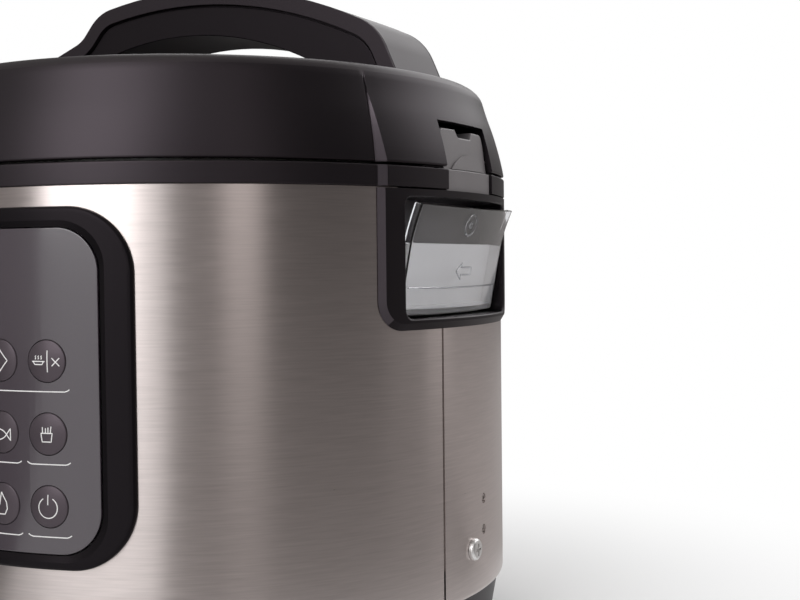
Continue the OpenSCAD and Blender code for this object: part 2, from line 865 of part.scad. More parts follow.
module thermal_sensor() {
    color([0.78, 0.78, 0.80]) {
        translate([0, 0, sensor_flange_z]) cylinder(r = sensor_r, h = sensor_cap_h);
        translate([0, 0, sensor_flange_z - sensor_flange_t])
            cylinder(r = sensor_flange_r, h = sensor_flange_t);
        translate([0, 0, liner_floor_z - sensor_stem_gap])
            cylinder(r = sensor_stem_r,
                     h = sensor_flange_z - sensor_flange_t - liner_floor_z + sensor_stem_gap);
    }
}

module sensor_spring() {
    color([0.6, 0.6, 0.62])
        tube(spring_r, spring_r - spring_wire, liner_floor_z + liner_t, sensor_flange_z - sensor_flange_t);
}

module thermal_fuse() {
    color([0.85, 0.85, 0.80]) translate([fuse_x, -liner_r + fuse_y, liner_floor_z - fuse_drop]) {
        rotate([0, 90, 0]) cylinder(r = fuse_r, h = fuse_l);
        translate([(fuse_l - fuse_tab[0]) / 2, -fuse_tab[1] / 2, fuse_drop - fuse_tab[2]])
            cube(fuse_tab);
    }
}

module power_board() {
    color([0.16, 0.36, 0.22]) translate([power_board_x - power_board_w / 2, power_board_y, pan_floor_z]) {
        translate([0, 0, stand_off]) cube([power_board_w, power_board_d, board_t]);
        for (x = [stand_in, power_board_w - stand_in], y = [stand_in, power_board_d - stand_in])
            translate([x, y, 0]) cylinder(r = stand_r, h = stand_off);
    }
}

module board_parts() {
    top = pan_floor_z + stand_off + board_t;
    color([0.2, 0.2, 0.22]) translate([power_board_x - power_board_w / 2, power_board_y, top]) {
        translate(relay_at) cube(relay);
        translate(transformer_at) cube(transformer);
        translate(terminal_block_at) cube(terminal_block);
        for (i = [0 : len(capacitors) - 1])
            translate(capacitors_at[i]) cylinder(r = capacitors[i][0], h = capacitors[i][1]);
    }
}

// Height of an inlet pin: the middle pin sits lower than the other two
function pin_z(i) = inlet_zc + (i == 0 ? -pin_down : pin_up);

module power_inlet() {
    color([0.09, 0.09, 0.10]) rotate([0, 0, 180]) difference() {
        union() {
            intersection() {
                tube(shell_r + inlet_proud, shell_r + seat, z_shell0, z_shell1);
                front_prism(inlet_w, inlet_h, inlet_corner_r, inlet_zc);
            }
            intersection() {
                tube(shell_r + inlet_proud, shell_r - socket_depth - socket_wall, z_shell0, z_shell1);
                front_prism(socket_w + 2 * socket_wall, socket_h + 2 * socket_wall,
                            socket_r + socket_wall, inlet_zc);
            }
        }
        intersection() {
            tube(far, shell_r - socket_depth, z_shell0, z_shell1);
            front_prism(socket_w, socket_h, socket_r, inlet_zc);
        }
        for (i = [-1, 0, 1]) translate([i * pin_pitch, 0, pin_z(i)])
            rotate([90, 0, 0]) linear_extrude(far)
                square([pin_w + pin_gap, pin_h + pin_gap], center = true);
    }
}

module inlet_pins() {
    y0 = shell_r - socket_depth - socket_wall - pin_tail;
    y1 = shell_r - pin_recess;
    color([0.80, 0.74, 0.52]) for (i = [-1, 0, 1])
        translate([i * pin_pitch - pin_w / 2, y0, pin_z(i) - pin_h / 2]) cube([pin_w, y1 - y0, pin_h]);
}

module inner_pot() {
    color([0.78, 0.78, 0.79]) rotate_extrude() polygon(concat(
        [[0, z_pot0]],
        arc_points(pot_r - pot_corner_r, z_pot0 + pot_corner_r, pot_corner_r, -90, 0, 6),
        [[pot_r, z_rim0], [rim_r, z_rim0], [rim_r, z_rim1], [pot_r - pot_wall, z_rim1]],
        arc_points(pot_r - pot_corner_r, z_pot0 + pot_corner_r, pot_corner_r - pot_wall, 0, -90, 6),
        [[0, z_pot0 + pot_wall]]
    ));
}

module bayonet_lug(r0, r1, a, z1) {
    rotate([0, 0, a - lug_half]) rotate_extrude(angle = 2 * lug_half)
        translate([r0, z1 - lug_t]) square([r1 - r0, lug_t]);
}

module locking_flange() {
    color([0.74, 0.74, 0.75]) {
        rotate_extrude() polygon([
            [pot_r + run, z_deck1], [flange_r, z_deck1], [flange_r, z_lug1],
            [flange_in, z_lug1], [flange_in, z_rim0], [pot_r + run, z_rim0]
        ]);
        for (a = lug_angles) bayonet_lug(flange_in + lug_sink, flange_r + lug_w, a, z_lug1);
    }
}

module panel_frame() {
    color([0.05, 0.05, 0.06]) difference() {
        intersection() {
            tube(panel_r, shell_r + seat, panel_z0 - beyond, panel_z1 + beyond);
            front_prism(chord(panel_w), panel_h, panel_corner_r, panel_zc);
        }
        front_prism(chord(face_w), face_h, face_corner_r, face_zc);
    }
}

module at_button(r, c) {
    rotate([0, 0, button_angle(c)]) translate([0, 0, button_z(r)]) rotate([90, 0, 0]) children();
}

module panel_face() {
    peg_x = board_w / 2 - peg_in;
    peg_end = sqrt(face_in * face_in - peg_x * peg_x) + peg_sink;
    color([0.38, 0.36, 0.38]) {
        difference() {
            intersection() {
                tube(face_r, face_in, panel_z0, panel_z1);
                front_prism(chord(face_w) - 2 * face_gap, face_h - 2 * face_gap,
                            face_corner_r - face_gap, face_zc);
            }
            for (r = [1 : rows], c = [1 : columns]) at_button(r, c)
                translate([0, 0, face_in - beyond])
                    cylinder(d = button_d + 2 * button_gap, h = face_t + 2 * beyond);
        }
        for (x = [-1, 1], z = [-1, 1])
            translate([x * peg_x, -board_y - board_t, face_zc + z * (board_h / 2 - peg_in)])
                rotate([90, 0, 0]) cylinder(r = peg_r, h = peg_end - board_y - board_t);
    }
}

module control_board() {
    color([0.16, 0.36, 0.22])
        translate([-board_w / 2, -board_y - board_t, face_zc - board_h / 2])
            cube([board_w, board_t, board_h]);
}

module display_module() {
    color([0.10, 0.10, 0.11])
        translate([-display_w / 2, -board_y - board_t - display_d, button_z(1) + display_up])
            cube([display_w, display_d, display_h]);
}

module tact_switches() {
    color([0.2, 0.2, 0.2]) for (r = [1 : rows], c = [1 : columns])
        translate([board_y * tan(button_angle(c)) - switch_w / 2, -board_y - board_t - switch_h,
                   button_z(r) - switch_w / 2])
            cube([switch_w, switch_h, switch_w]);
}

module button(r, c) {
    reach = (board_y + board_t + switch_h) / cos(button_angle(c)) + press_room;
    br = button_d / 2;
    dome_r = (br * br + button_dome * button_dome) / (2 * button_dome);
    dome_a = asin(br / dome_r);
    color([0.30, 0.29, 0.31]) at_button(r, c) {
        translate([0, 0, face_in - button_gap - button_flange_t])
            cylinder(r = br + button_flange, h = button_flange_t);
        rotate_extrude($fn = 64) polygon(concat(
            [[0, face_in - button_sink], [br, face_in - button_sink], [br, face_r]],
            [for (i = [1 : 5]) let (a = dome_a * (1 - i / 5))
                [dome_r * sin(a), face_r + button_dome - dome_r * (1 - cos(a))]]
        ));
        translate([0, 0, reach]) cylinder(r = button_stem_r, h = face_in - reach - button_sink / 2);
    }
}

module lid_shell_cut() {
    cross_rod(slot_r, hinge_x, hinge_z, slot_half);
    side_box(slot_half, hinge_x - slot_r, far, 0, hinge_z);
}

module lid_cover() {
    outer = lid_outline(0);
    inner = lid_outline(-lid_wall);
    color([0.09, 0.09, 0.10]) difference() {
        union() {
            rotate_extrude() polygon(concat(
                outer, [for (i = [len(inner) - 1 : -1 : 0]) inner[i]]
            ));
            rotate([0, 0, -wing_angle]) rotate_extrude(angle = 2 * wing_angle)
                polygon(concat(
                    [[lid_r0 - beyond, z_lid0 + wing_edge], [lid_r0 + wing_proud, z_lid0 + wing_edge]],
                    wing_points(0, 0, wing_top, 9),
                    arc_points(arc_r, z_arc, lid_shoulder_r - wing_sink, wing_top, 0, 9)
                ));
            intersection() {
                cylinder(r = lid_r0 - ear_in, h = far);
                for (s = [-1, 1]) translate([0, s * (slot_half + ear_w / 2), 0])
                    cross_rod(barrel_r, hinge_x, hinge_z, ear_w / 2);
            }
            for (a = post_angles) at_polar(lid_post_circle_r, a)
                translate([0, 0, z_inner1])
                    cylinder(r = lid_post_r, h = dish_z - lid_wall - z_inner1 + beyond);
        }
        lid_shell_cut();
        cross_rod(pin_r + seat, hinge_x, hinge_z, pin_half);
        translate([0, 0, z_inner1]) cylinder(r = shaft_hole_r, h = far);
        at_polar(valve_circle_r, pipe_angle)
            translate([0, 0, z_inner1]) cylinder(r = pipe_r + run, h = far);
        at_polar(valve_circle_r, float_angle)
            translate([0, 0, z_inner1]) cylinder(r = float_hole_r, h = far);
        for (a = post_angles) at_polar(lid_post_circle_r, a)
            translate([0, 0, z_inner1 - beyond]) cylinder(r = screw_r + seat, h = screw_bite + beyond);
    }
}

module lid_inner() {
    color([0.76, 0.76, 0.77]) difference() {
        rotate_extrude() polygon([
            [0, z_inner1 - inner_t], [inner_top_r, z_inner1 - inner_t],
            [inner_wall_r, z_seal1], [inner_flange_r, z_seal1], [inner_flange_r, z_seal1 + inner_t],
            [inner_wall_r + inner_t, z_seal1 + inner_t], [inner_top_r + inner_t, z_inner1], [0, z_inner1]
        ]);
        at_polar(valve_circle_r, pipe_angle) cylinder(r = pipe_r + seat, h = far);
        at_polar(valve_circle_r, float_angle) cylinder(r = float_hole_r, h = far);
        for (a = post_angles) at_polar(lid_post_circle_r, a) cylinder(r = screw_r + seat, h = far);
    }
}

module sealing_ring() {
    mid = z_seal0 + seal_h / 2;
    color([0.82, 0.82, 0.80]) rotate_extrude() polygon([
        [seal_in, z_seal1], [seal_in, mid], [seal_in + seal_lip, z_seal0],
        [inner_flange_r - seal_chamfer, z_seal0], [inner_flange_r, mid], [inner_flange_r, z_seal1]
    ]);
}

module lid_screws() {
    color([0.8, 0.8, 0.8]) for (a = post_angles) at_polar(lid_post_circle_r, a)
        translate([0, 0, z_inner1 - inner_t]) screw(screw_head_r, screw_head_t, screw_bite - 1);
}

module float_valve() {
    z0 = z_inner1 - inner_t - gasket_t - float_travel - float_slack;
    color([0.72, 0.12, 0.10]) at_polar(valve_circle_r, float_angle) {
        translate([0, 0, z0]) cylinder(r = float_r, h = dish_z - float_slack - z0);
        translate([0, 0, z0 - float_disc_t]) cylinder(r = float_disc_r, h = float_disc_t);
    }
}

module float_gasket() {
    color([0.82, 0.82, 0.80]) at_polar(valve_circle_r, float_angle)
        tube(float_disc_r, float_hole_r, z_inner1 - inner_t - gasket_t, z_inner1 - inner_t);
}

module steam_pipe() {
    z0 = z_inner1 - inner_t - pipe_down;
    color([0.75, 0.75, 0.76]) at_polar(valve_circle_r, pipe_angle) {
        tube(pipe_r, pipe_bore_r, z0, dish_z + pipe_up);
        tube(pipe_r + pipe_collar_w, pipe_r - wing_sink, z_inner1, z_inner1 + pipe_collar_h);
    }
}

module steam_valve() {
    z0 = dish_z + weight_clear;
    seat_z = dish_z + pipe_up + soft_gap;
    color([0.12, 0.12, 0.13]) at_polar(valve_circle_r, pipe_angle) difference() {
        rotate_extrude() polygon([
            [0, z0], [weight_r - weight_neck, z0], [weight_r - weight_neck, z0 + weight_neck_h],
            [weight_r, z0 + weight_neck_h + weight_neck], [weight_r, z0 + weight_h - weight_chamfer],
            [weight_r - weight_chamfer, z0 + weight_h], [0, z0 + weight_h]
        ]);
        translate([0, 0, z0 - beyond]) cylinder(r = weight_bore_r, h = seat_z - z0 + beyond);
    }
}

module steam_filter() {
    z1 = z_inner1 - inner_t;
    color([0.74, 0.74, 0.75]) at_polar(valve_circle_r, pipe_angle) difference() {
        translate([0, 0, z1 - filter_h]) cylinder(r = filter_r, h = filter_h);
        translate([0, 0, z1 - filter_h + filter_wall]) cylinder(r = filter_r - filter_wall, h = filter_h);
        for (a = [0 : 45 : 315]) rotate([0, 0, a])
            translate([filter_r - 2 * filter_wall, -filter_slot[1] / 2, z1 - filter_h + 2 * filter_wall])
                cube(filter_slot);
    }
}

module locking_ring() {
    color([0.74, 0.74, 0.75]) {
        tube(lock_r, lock_in, z_lock0, z_arm1);
        for (a = lug_angles)
            bayonet_lug(flange_r + lug_gap, lock_in + lug_sink, a - lock_turn, z_lock0 + lug_t);
        for (a = arm_angles) rotate([0, 0, a])
            translate([hub_r - arm_lap, -arm_w / 2, z_arm0])
                cube([lock_in + lug_sink - hub_r + arm_lap, arm_w, ring_arm_t]);
        translate([0, 0, z_arm0]) cylinder(r = hub_r, h = ring_arm_t);
    }
}

// Everything that the lid's top fills, with the running gap of the handle
module lid_top_room() {
    rotate_extrude() polygon(concat(
        [[0, 0], [lid_r0 + wing_proud + handle_gap, 0]],
        wing_points(handle_gap, 0, wing_top, 8),
        [[arc_r, z_rim + handle_gap]],
        [for (p = lid_outline(handle_gap)) if (p[0] < arc_r - 1) p]
    ));
}

module handle_base() {
    color([0.07, 0.07, 0.08]) difference() {
        union() {
            difference() {
                translate([-bar_half, -bar_w / 2, bar_z0]) cube([2 * bar_half, bar_w, bar_t]);
                lid_top_room();
            }
            translate([0, 0, bar_z0]) cylinder(r = hub_disc_r, h = bar_t);
            translate([0, 0, z_arm1]) cylinder(r = shaft_r, h = bar_z0 - z_arm1 + beyond);
        }
        for (x = [-1, 1], y = [-1, 1]) translate([x * handle_screw_x, y * handle_screw_y, 0])
            cylinder(r = screw_r + seat, h = far);
    }
}

// Half section of the finger gap's arch, from the crown outwards
function grip_outline() = [for (i = [0 : 10]) let (a = asin(grip_half / grip_r) * i / 10)
    [grip_r * sin(a), z_rim + grip_up - grip_r * (1 - cos(a))]];

module handle_side(points, width) {
    translate([0, width / 2, 0]) rotate([90, 0, 0]) linear_extrude(width) polygon(points);
}

// The arch's underside from the near foot to the far foot: the bar's seat and the finger gap
function arch_under() =
    let (
        seat_half = bar_half + run,
        half = concat(
            [for (i = [0 : 10]) grip_outline()[i]],
            [[grip_half - grip_toe, bar_z1], [seat_half, bar_z1], [seat_half, foot_z]]
        )
    )
    concat(
        [for (i = [len(half) - 1 : -1 : 1]) half[i]],
        [for (p = half) [-p[0], p[1]]]
    );

module handle_arch() {
    color([0.05, 0.05, 0.06]) difference() {
        handle_side(concat(handle_outline(cap_t), arch_under()), handle_w - 2 * arch_in);
        lid_top_room();
        for (x = [-1, 1], y = [-1, 1])
            translate([x * handle_screw_x, y * handle_screw_y, bar_z1 - beyond])
                cylinder(r = screw_r + seat, h = handle_screw_up + 2 * beyond);
    }
}

module handle_cap() {
    inner = handle_outline(cap_t);
    color([0.30, 0.29, 0.30]) difference() {
        handle_side(concat(
            handle_outline(0),
            [for (i = [len(inner) - 1 : -1 : 0]) inner[i]]
        ), handle_w);
        lid_top_room();
    }
}

module handle_screws() {
    color([0.8, 0.8, 0.8]) difference() {
        for (x = [-1, 1], y = [-1, 1])
            translate([x * handle_screw_x, y * handle_screw_y, bar_z0 + handle_screw_in])
                cylinder(r = screw_r, h = bar_t - handle_screw_in + handle_screw_up);
        lid_top_room();
    }
}

base_pan();
rubber_feet();
base_screws();
outer_shell();
seam_strip();
shell_screw();
upper_ring();
hinge_bracket();
hinge_pin();
condensate_cup();
inner_liner();
heating_plate();
heating_element();
thermal_sensor();
sensor_spring();
thermal_fuse();
power_board();
board_parts();
power_inlet();
inlet_pins();
inner_pot();
locking_flange();
panel_frame();
panel_face();
control_board();
display_module();
tact_switches();
for (r = [1 : rows], c = [1 : columns])
    button(r, c);
lid_cover();
lid_inner();
sealing_ring();
lid_screws();
float_valve();
float_gasket();
steam_pipe();
steam_valve();
steam_filter();
locking_ring();
handle_base();
handle_arch();
handle_cap();
handle_screws();
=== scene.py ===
# %% [markdown]
# # Dressing a multicooker
# The CAD model gives every solid of the cooker at its real size. This lesson loads that model as a fixed
# frame and rebuilds the pieces that the eye meets first: the brushed body, the black lid, the arch handle,
# the control panel, and the clear cup in its recess. Hidden pieces keep their CAD shape and get a finish.

# %% Load the frame
import json
import math

import bmesh
import bpy
from mathutils import Matrix, Vector
from mathutils.bvhtree import BVHTree


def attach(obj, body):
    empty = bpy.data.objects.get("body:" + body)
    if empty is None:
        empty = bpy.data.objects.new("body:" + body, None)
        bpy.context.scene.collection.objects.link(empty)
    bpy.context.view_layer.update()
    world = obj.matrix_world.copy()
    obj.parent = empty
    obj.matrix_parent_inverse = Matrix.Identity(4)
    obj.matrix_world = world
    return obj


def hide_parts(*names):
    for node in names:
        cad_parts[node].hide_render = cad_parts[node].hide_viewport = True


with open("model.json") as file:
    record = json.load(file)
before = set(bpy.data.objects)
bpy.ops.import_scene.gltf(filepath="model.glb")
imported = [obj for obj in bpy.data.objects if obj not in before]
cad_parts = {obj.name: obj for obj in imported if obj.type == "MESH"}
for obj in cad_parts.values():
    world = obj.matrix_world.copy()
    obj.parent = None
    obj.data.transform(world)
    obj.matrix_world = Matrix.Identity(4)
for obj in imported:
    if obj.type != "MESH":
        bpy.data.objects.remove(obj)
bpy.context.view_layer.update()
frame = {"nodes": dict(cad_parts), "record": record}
nodes = frame["nodes"]
scene = bpy.context.scene
scene.view_settings.view_transform = "Standard"

# %% [markdown]
# ## Sizes
# All modelling below is in millimetres, because that is how the cooker is measured. A piece is scaled to
# metres once, when its mesh becomes an object. The values here are the ones that more than one piece needs.
# `MERGE` and `CLOSE` say how near two points have to be to count as one, for an operator and for a test.

# %% Shared sizes
MM = 0.001
MERGE = 1e-4
CLOSE = 1e-3
SHELL_R = 140.0
SHELL_T = 0.8
SHELL_Z0 = 30.0
SHELL_Z1 = 203.0
BAND_R = 140.8
BAND_Z1 = 211.4
LID_Z0 = 212.4
KNEE_R, KNEE_Z = 138.6, 225.0
CORNER_R, CORNER_Z = 130.8, 251.9
RIM_R, RIM_Z = 99.5, 255.5
CROWN_R = 107.0
DISH_R, DISH_Z = 84.0, 250.0
LID_T = 3.0
PROUD_R = 142.0
WING_ANGLE = 24.4
HINGE = Vector((135.2, 0.0, 217.0))
POST_HALF = 20.5
SLOT_HALF = 21.8
RECESS_HALF = 46.0
RECESS_Z0 = 150.4
RECESS_Z1 = 199.2
RECESS_BACK = 121.5
PANEL_FACING = -90.0
OUTSIDE = 160.0
BELOW_LID = 190.0
LATHE_STEPS = 240
CUTTER_LENGTH = 60.0
print("body", 2 * SHELL_R, "mm across, lid rim at", RIM_Z, "mm")

# %% [markdown]
# ## Tools for the bench
# Four helpers do most of the work. `outline` draws a flat closed shape and rounds its corners with a vertex
# bevel, so a corner's radius is a number beside the corner. `turned` spins such a shape about the upright
# axis, as a lathe does. `bare_object` scales a mesh to metres and makes an object of it, and `finish_piece`
# shades that object, gives it its finish and ties it to its CAD body.


# %% Outline, lathe and finishing helpers
def outline(corners):
    """A flat face in the XZ plane. Each corner is (x, z, rounding)."""
    bm = bmesh.new()
    verts = [bm.verts.new((x, 0, z)) for x, z, _ in corners]
    bm.faces.new(verts)
    for vert, (_, _, rounding) in zip(verts, corners):
        if rounding > 0:
            steps = min(24, max(3, round(rounding)))
            bmesh.ops.bevel(bm, geom=[vert], offset=rounding, affect="VERTICES",
                            segments=steps, profile=0.5, material=-1)
    return bm


def turned(corners, steps):
    """The outline spun about the Z axis into a closed ring or solid."""
    bm = outline(corners)
    bmesh.ops.delete(bm, geom=bm.faces[:], context="FACES_ONLY")
    bmesh.ops.spin(bm, geom=bm.verts[:] + bm.edges[:], cent=(0, 0, 0), axis=(0, 0, 1), dvec=(0, 0, 0),
                   angle=2 * math.pi, steps=steps, use_merge=True, use_duplicate=False)
    bmesh.ops.remove_doubles(bm, verts=bm.verts, dist=MERGE)
    bmesh.ops.recalc_face_normals(bm, faces=bm.faces)
    return bm


def bare_object(name, bm):
    """A mesh object in metres, made from a bmesh in millimetres."""
    bmesh.ops.recalc_face_normals(bm, faces=bm.faces)
    bmesh.ops.scale(bm, vec=(MM, MM, MM), verts=bm.verts)
    mesh = bpy.data.meshes.new(name)
    bm.to_mesh(mesh)
    bm.free()
    piece = bpy.data.objects.new(name, mesh)
    scene.collection.objects.link(piece)
    return piece


def finish_piece(piece, body, materials, slot, *replaced, sharp=34):
    """Shade a piece, give it its finish and tie it to a CAD body."""
    for material in materials:
        piece.data.materials.append(material)
    piece.data.shade_smooth()
    piece.data.set_sharp_from_angle(angle=math.radians(sharp))
    even = piece.modifiers.new("even_normals", "WEIGHTED_NORMAL")
    even.keep_sharp = True
    with bpy.context.temp_override(object=piece):
        bpy.ops.object.modifier_apply(modifier=even.name)
    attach(piece, body)
    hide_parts(*replaced)
    print(piece.name, len(piece.data.polygons), "faces, on", body)
    return piece


# %% [markdown]
# Much of this cooker is wrapped round its body: the panel, the bracket and their openings. Such a piece is
# modelled flat, with X along the wall, Y out of it and Z up. `wrapped` then slices it into narrow strips and
# rolls it on to a cylinder, so that its edges stay parallel to the wall.


# %% Flat plates, wrapping and cutting helpers
def all_of(bm):
    """Every vertex, edge and face of a mesh, as a cut wants them."""
    return bm.verts[:] + bm.edges[:] + bm.faces[:]


def new_verts(grown):
    """The vertices that an extrusion made."""
    return [g for g in grown["geom"] if isinstance(g, bmesh.types.BMVert)]


def plate(corners, back, front):
    """An outline pushed from depth back to depth front along Y."""
    bm = outline(corners)
    bmesh.ops.translate(bm, verts=bm.verts, vec=(0, back, 0))
    grown = bmesh.ops.extrude_face_region(bm, geom=bm.faces[:])
    bmesh.ops.translate(bm, verts=new_verts(grown), vec=(0, front - back, 0))
    bmesh.ops.recalc_face_normals(bm, faces=bm.faces)
    return bm


def rectangle(width, low, high, corner):
    """Corners of an upright rectangle that is centred on X, with one rounding."""
    half = width / 2
    return [(-half, low, corner), (half, low, corner), (half, high, corner), (-half, high, corner)]


def sliced(bm, axis, low, high, count):
    """Cut a mesh into strips along an axis so that it can bend."""
    normal = Vector((0, 0, 0))
    normal[axis] = 1
    for i in range(1, count):
        at = normal * (low + (high - low) * i / count)
        bmesh.ops.bisect_plane(bm, geom=all_of(bm), plane_co=at, plane_no=normal, dist=MERGE)
    return bm


def trimmed(bm, z, keep_below):
    """Cut a mesh off at a height and close the cut."""
    bmesh.ops.bisect_plane(bm, geom=all_of(bm), plane_co=(0, 0, z), plane_no=(0, 0, 1), dist=MERGE,
                           clear_outer=keep_below, clear_inner=not keep_below)
    bmesh.ops.holes_fill(bm, edges=[e for e in bm.edges if e.is_boundary])
    return bm


def wrapped(bm, radius, facing, strips):
    """Roll a flat mesh round the Z axis; facing is the direction of its middle, in degrees from +X."""
    reach = max(abs(v.co.x) for v in bm.verts)
    sliced(bm, 0, -reach, reach, strips)
    for vert in bm.verts:
        angle = math.radians(facing) + vert.co.x / radius
        far = radius + vert.co.y
        vert.co = (far * math.cos(angle), far * math.sin(angle), vert.co.z)
    bmesh.ops.recalc_face_normals(bm, faces=bm.faces)
    return bm


def carve(piece, cutter_bm, operation="DIFFERENCE"):
    """Cut a piece with another mesh, which is thrown away."""
    cutter = bare_object("cutter", cutter_bm)
    cut = piece.modifiers.new("cut", "BOOLEAN")
    cut.operation = operation
    cut.solver = "EXACT"
    cut.object = cutter
    with bpy.context.temp_override(object=piece):
        bpy.ops.object.modifier_apply(modifier=cut.name)
    bpy.data.objects.remove(cutter)
    return piece


def edges_where(bm, test):
    """Edges whose two ends both pass a test on their place."""
    return [e for e in bm.edges if test(e.verts[0].co) and test(e.verts[1].co)]


def soften(bm, edges, width, segments=2):
    """Round edges with a bevel."""
    bmesh.ops.bevel(bm, geom=edges, offset=width, affect="EDGES", segments=segments, profile=0.5,
                    material=-1, clamp_overlap=True)
    return bm


def block(low, high):
    """A box between two corners."""
    bm = bmesh.new()
    bmesh.ops.create_cube(bm, size=1)
    size = Vector(high) - Vector(low)
    bmesh.ops.scale(bm, vec=size, verts=bm.verts)
    bmesh.ops.translate(bm, verts=bm.verts, vec=(Vector(low) + Vector(high)) / 2)
    return bm


def rod(radius, length, centre, axis, segments=48):
    """A cylinder about a point, along an axis."""
    bm = bmesh.new()
    bmesh.ops.create_cone(bm, cap_ends=True, segments=segments, radius1=radius, radius2=radius, depth=length)
    turn = Vector((0, 0, 1)).rotation_difference(Vector(axis)).to_matrix()
    bmesh.ops.rotate(bm, verts=bm.verts, matrix=turn, cent=(0, 0, 0))
    bmesh.ops.translate(bm, verts=bm.verts, vec=centre)
    return bm


def radial_rod(radius, length, reach, facing, height):
    """A cylinder that points straight out of the body, in a direction in degrees from +X."""
    x = math.cos(math.radians(facing))
    y = math.sin(math.radians(facing))
    return rod(radius, length, (reach * x, reach * y, height), (x, y, 0))


def joined(*meshes):
    """Several meshes as one, each a closed island of its own."""
    whole = bmesh.new()
    for bm in meshes:
        part = bpy.data.meshes.new("island")
        bm.to_mesh(part)
        bm.free()
        whole.from_mesh(part)
        bpy.data.meshes.remove(part)
    return whole


print("bench ready")

# %% [markdown]
# ## Finishes
# Moulded plastic is never one flat tone. Its tool leaves a fine spark-eroded grain, and handling leaves faint
# patches where it shines more. Every plastic here needs both, so they live in one node group that each
# material calls with its own colour, grain size and roughness. Metal has a group of its own, with a noise
# that is stretched round the body, as a brush draws its scratches. Each group gives a colour, a roughness and
# a height, and the shader itself stays in the material, where the export can read it.

# %% Node groups for grain and for brushing
GRAIN_SCALE = 2600.0
PATCH_SCALE = 22.0


def group_socket(group, name, kind, direction, value=None):
    """One socket of a node group, with its default."""
    socket = group.interface.new_socket(name=name, in_out=direction, socket_type=kind)
    if value is not None:
        socket.default_value = value
    return socket


def start_group(name, inputs):
    """A node group with colour, roughness and height outputs."""
    group = bpy.data.node_groups.new(name, "ShaderNodeTree")
    for label, kind, value in inputs:
        group_socket(group, label, kind, "INPUT", value)
    group_socket(group, "Color", "NodeSocketColor", "OUTPUT")
    group_socket(group, "Roughness", "NodeSocketFloat", "OUTPUT")
    group_socket(group, "Height", "NodeSocketFloat", "OUTPUT")
    return group, group.nodes.new("NodeGroupInput"), group.nodes.new("NodeGroupOutput")


def noise_node(tree, scale, detail):
    """A noise texture that starts from the given scale."""
    node = tree.nodes.new("ShaderNodeTexNoise")
    node.inputs["Scale"].default_value = scale
    node.inputs["Detail"].default_value = detail
    return node


def math_node(tree, operation, first, second):
    """A math node; each input is a number or an output socket."""
    node = tree.nodes.new("ShaderNodeMath")
    node.operation = operation
    for slot_index, value in enumerate((first, second)):
        if isinstance(value, bpy.types.NodeSocket):
            tree.links.new(value, node.inputs[slot_index])
        else:
            node.inputs[slot_index].default_value = value
    return node.outputs[0]


def swing(tree, centre, amount, noise):
    """centre plus or minus amount, driven by a noise between 0 and 1."""
    around = math_node(tree, "SUBTRACT", noise, 0.5)
    return math_node(tree, "ADD", centre, math_node(tree, "MULTIPLY", around, amount))


def shaded_color(tree, colour, amount, noise):
    """A colour made a little lighter and darker by a noise."""
    node = tree.nodes.new("ShaderNodeHueSaturation")
    tree.links.new(colour, node.inputs["Color"])
    tree.links.new(swing(tree, 1.0, amount, noise), node.inputs["Value"])
    return node.outputs["Color"]


def make_grain_group():
    """Spark-eroded grain and handling patches of a moulded surface."""
    group, given, out = start_group("moulded_grain", [
        ("Color", "NodeSocketColor", (0.02, 0.02, 0.02, 1)),
        ("Variation", "NodeSocketFloat", 0.2),
        ("Grain Scale", "NodeSocketFloat", GRAIN_SCALE),
        ("Roughness", "NodeSocketFloat", 0.4),
        ("Patches", "NodeSocketFloat", 0.1),
    ])
    place = group.nodes.new("ShaderNodeTexCoord")
    fine = noise_node(group, GRAIN_SCALE, 2.0)
    broad = noise_node(group, PATCH_SCALE, 4.0)
    group.links.new(place.outputs["Object"], fine.inputs["Vector"])
    group.links.new(place.outputs["Object"], broad.inputs["Vector"])
    group.links.new(given.outputs["Grain Scale"], fine.inputs["Scale"])
    tone = shaded_color(group, given.outputs["Color"], given.outputs["Variation"], fine.outputs[0])
    group.links.new(tone, out.inputs["Color"])
    shine = swing(group, given.outputs["Roughness"], given.outputs["Patches"], broad.outputs[0])
    group.links.new(shine, out.inputs["Roughness"])
    group.links.new(fine.outputs[0], out.inputs["Height"])
    return group


def make_brush_group():
    """Long scratches of brushed metal, round the upright axis."""
    group, given, out = start_group("brushed_lines", [
        ("Color", "NodeSocketColor", (0.6, 0.6, 0.6, 1)),
        ("Variation", "NodeSocketFloat", 0.2),
        ("Along", "NodeSocketFloat", 25.0),
        ("Across", "NodeSocketFloat", 1400.0),
        ("Roughness", "NodeSocketFloat", 0.3),
        ("Patches", "NodeSocketFloat", 0.1),
    ])
    place = group.nodes.new("ShaderNodeTexCoord")
    stretch = group.nodes.new("ShaderNodeVectorMath")
    stretch.operation = "MULTIPLY"
    scale = group.nodes.new("ShaderNodeCombineXYZ")
    for axis, label in (("X", "Along"), ("Y", "Along"), ("Z", "Across")):
        group.links.new(given.outputs[label], scale.inputs[axis])
    group.links.new(place.outputs["Object"], stretch.inputs[0])
    group.links.new(scale.outputs[0], stretch.inputs[1])
    lines = noise_node(group, 1.0, 4.0)
    group.links.new(stretch.outputs[0], lines.inputs["Vector"])
    tone = shaded_color(group, given.outputs["Color"], given.outputs["Variation"], lines.outputs[0])
    group.links.new(tone, out.inputs["Color"])
    shine = swing(group, given.outputs["Roughness"], given.outputs["Patches"], lines.outputs[0])
    group.links.new(shine, out.inputs["Roughness"])
    group.links.new(lines.outputs[0], out.inputs["Height"])
    return group


GRAIN = make_grain_group()
BRUSH = make_brush_group()
print("groups:", GRAIN.name, BRUSH.name)

# %% [markdown]
# A material places one of the groups, feeds its outputs to a Principled shader, and turns the height into a
# shallow bump. Numbers that are the same all over, such as the metal's anisotropy or a clear coat's
# roughness, are written on the shader's own sockets.

# %% Materials from the groups
BUMP_DEPTH = 0.05 * MM


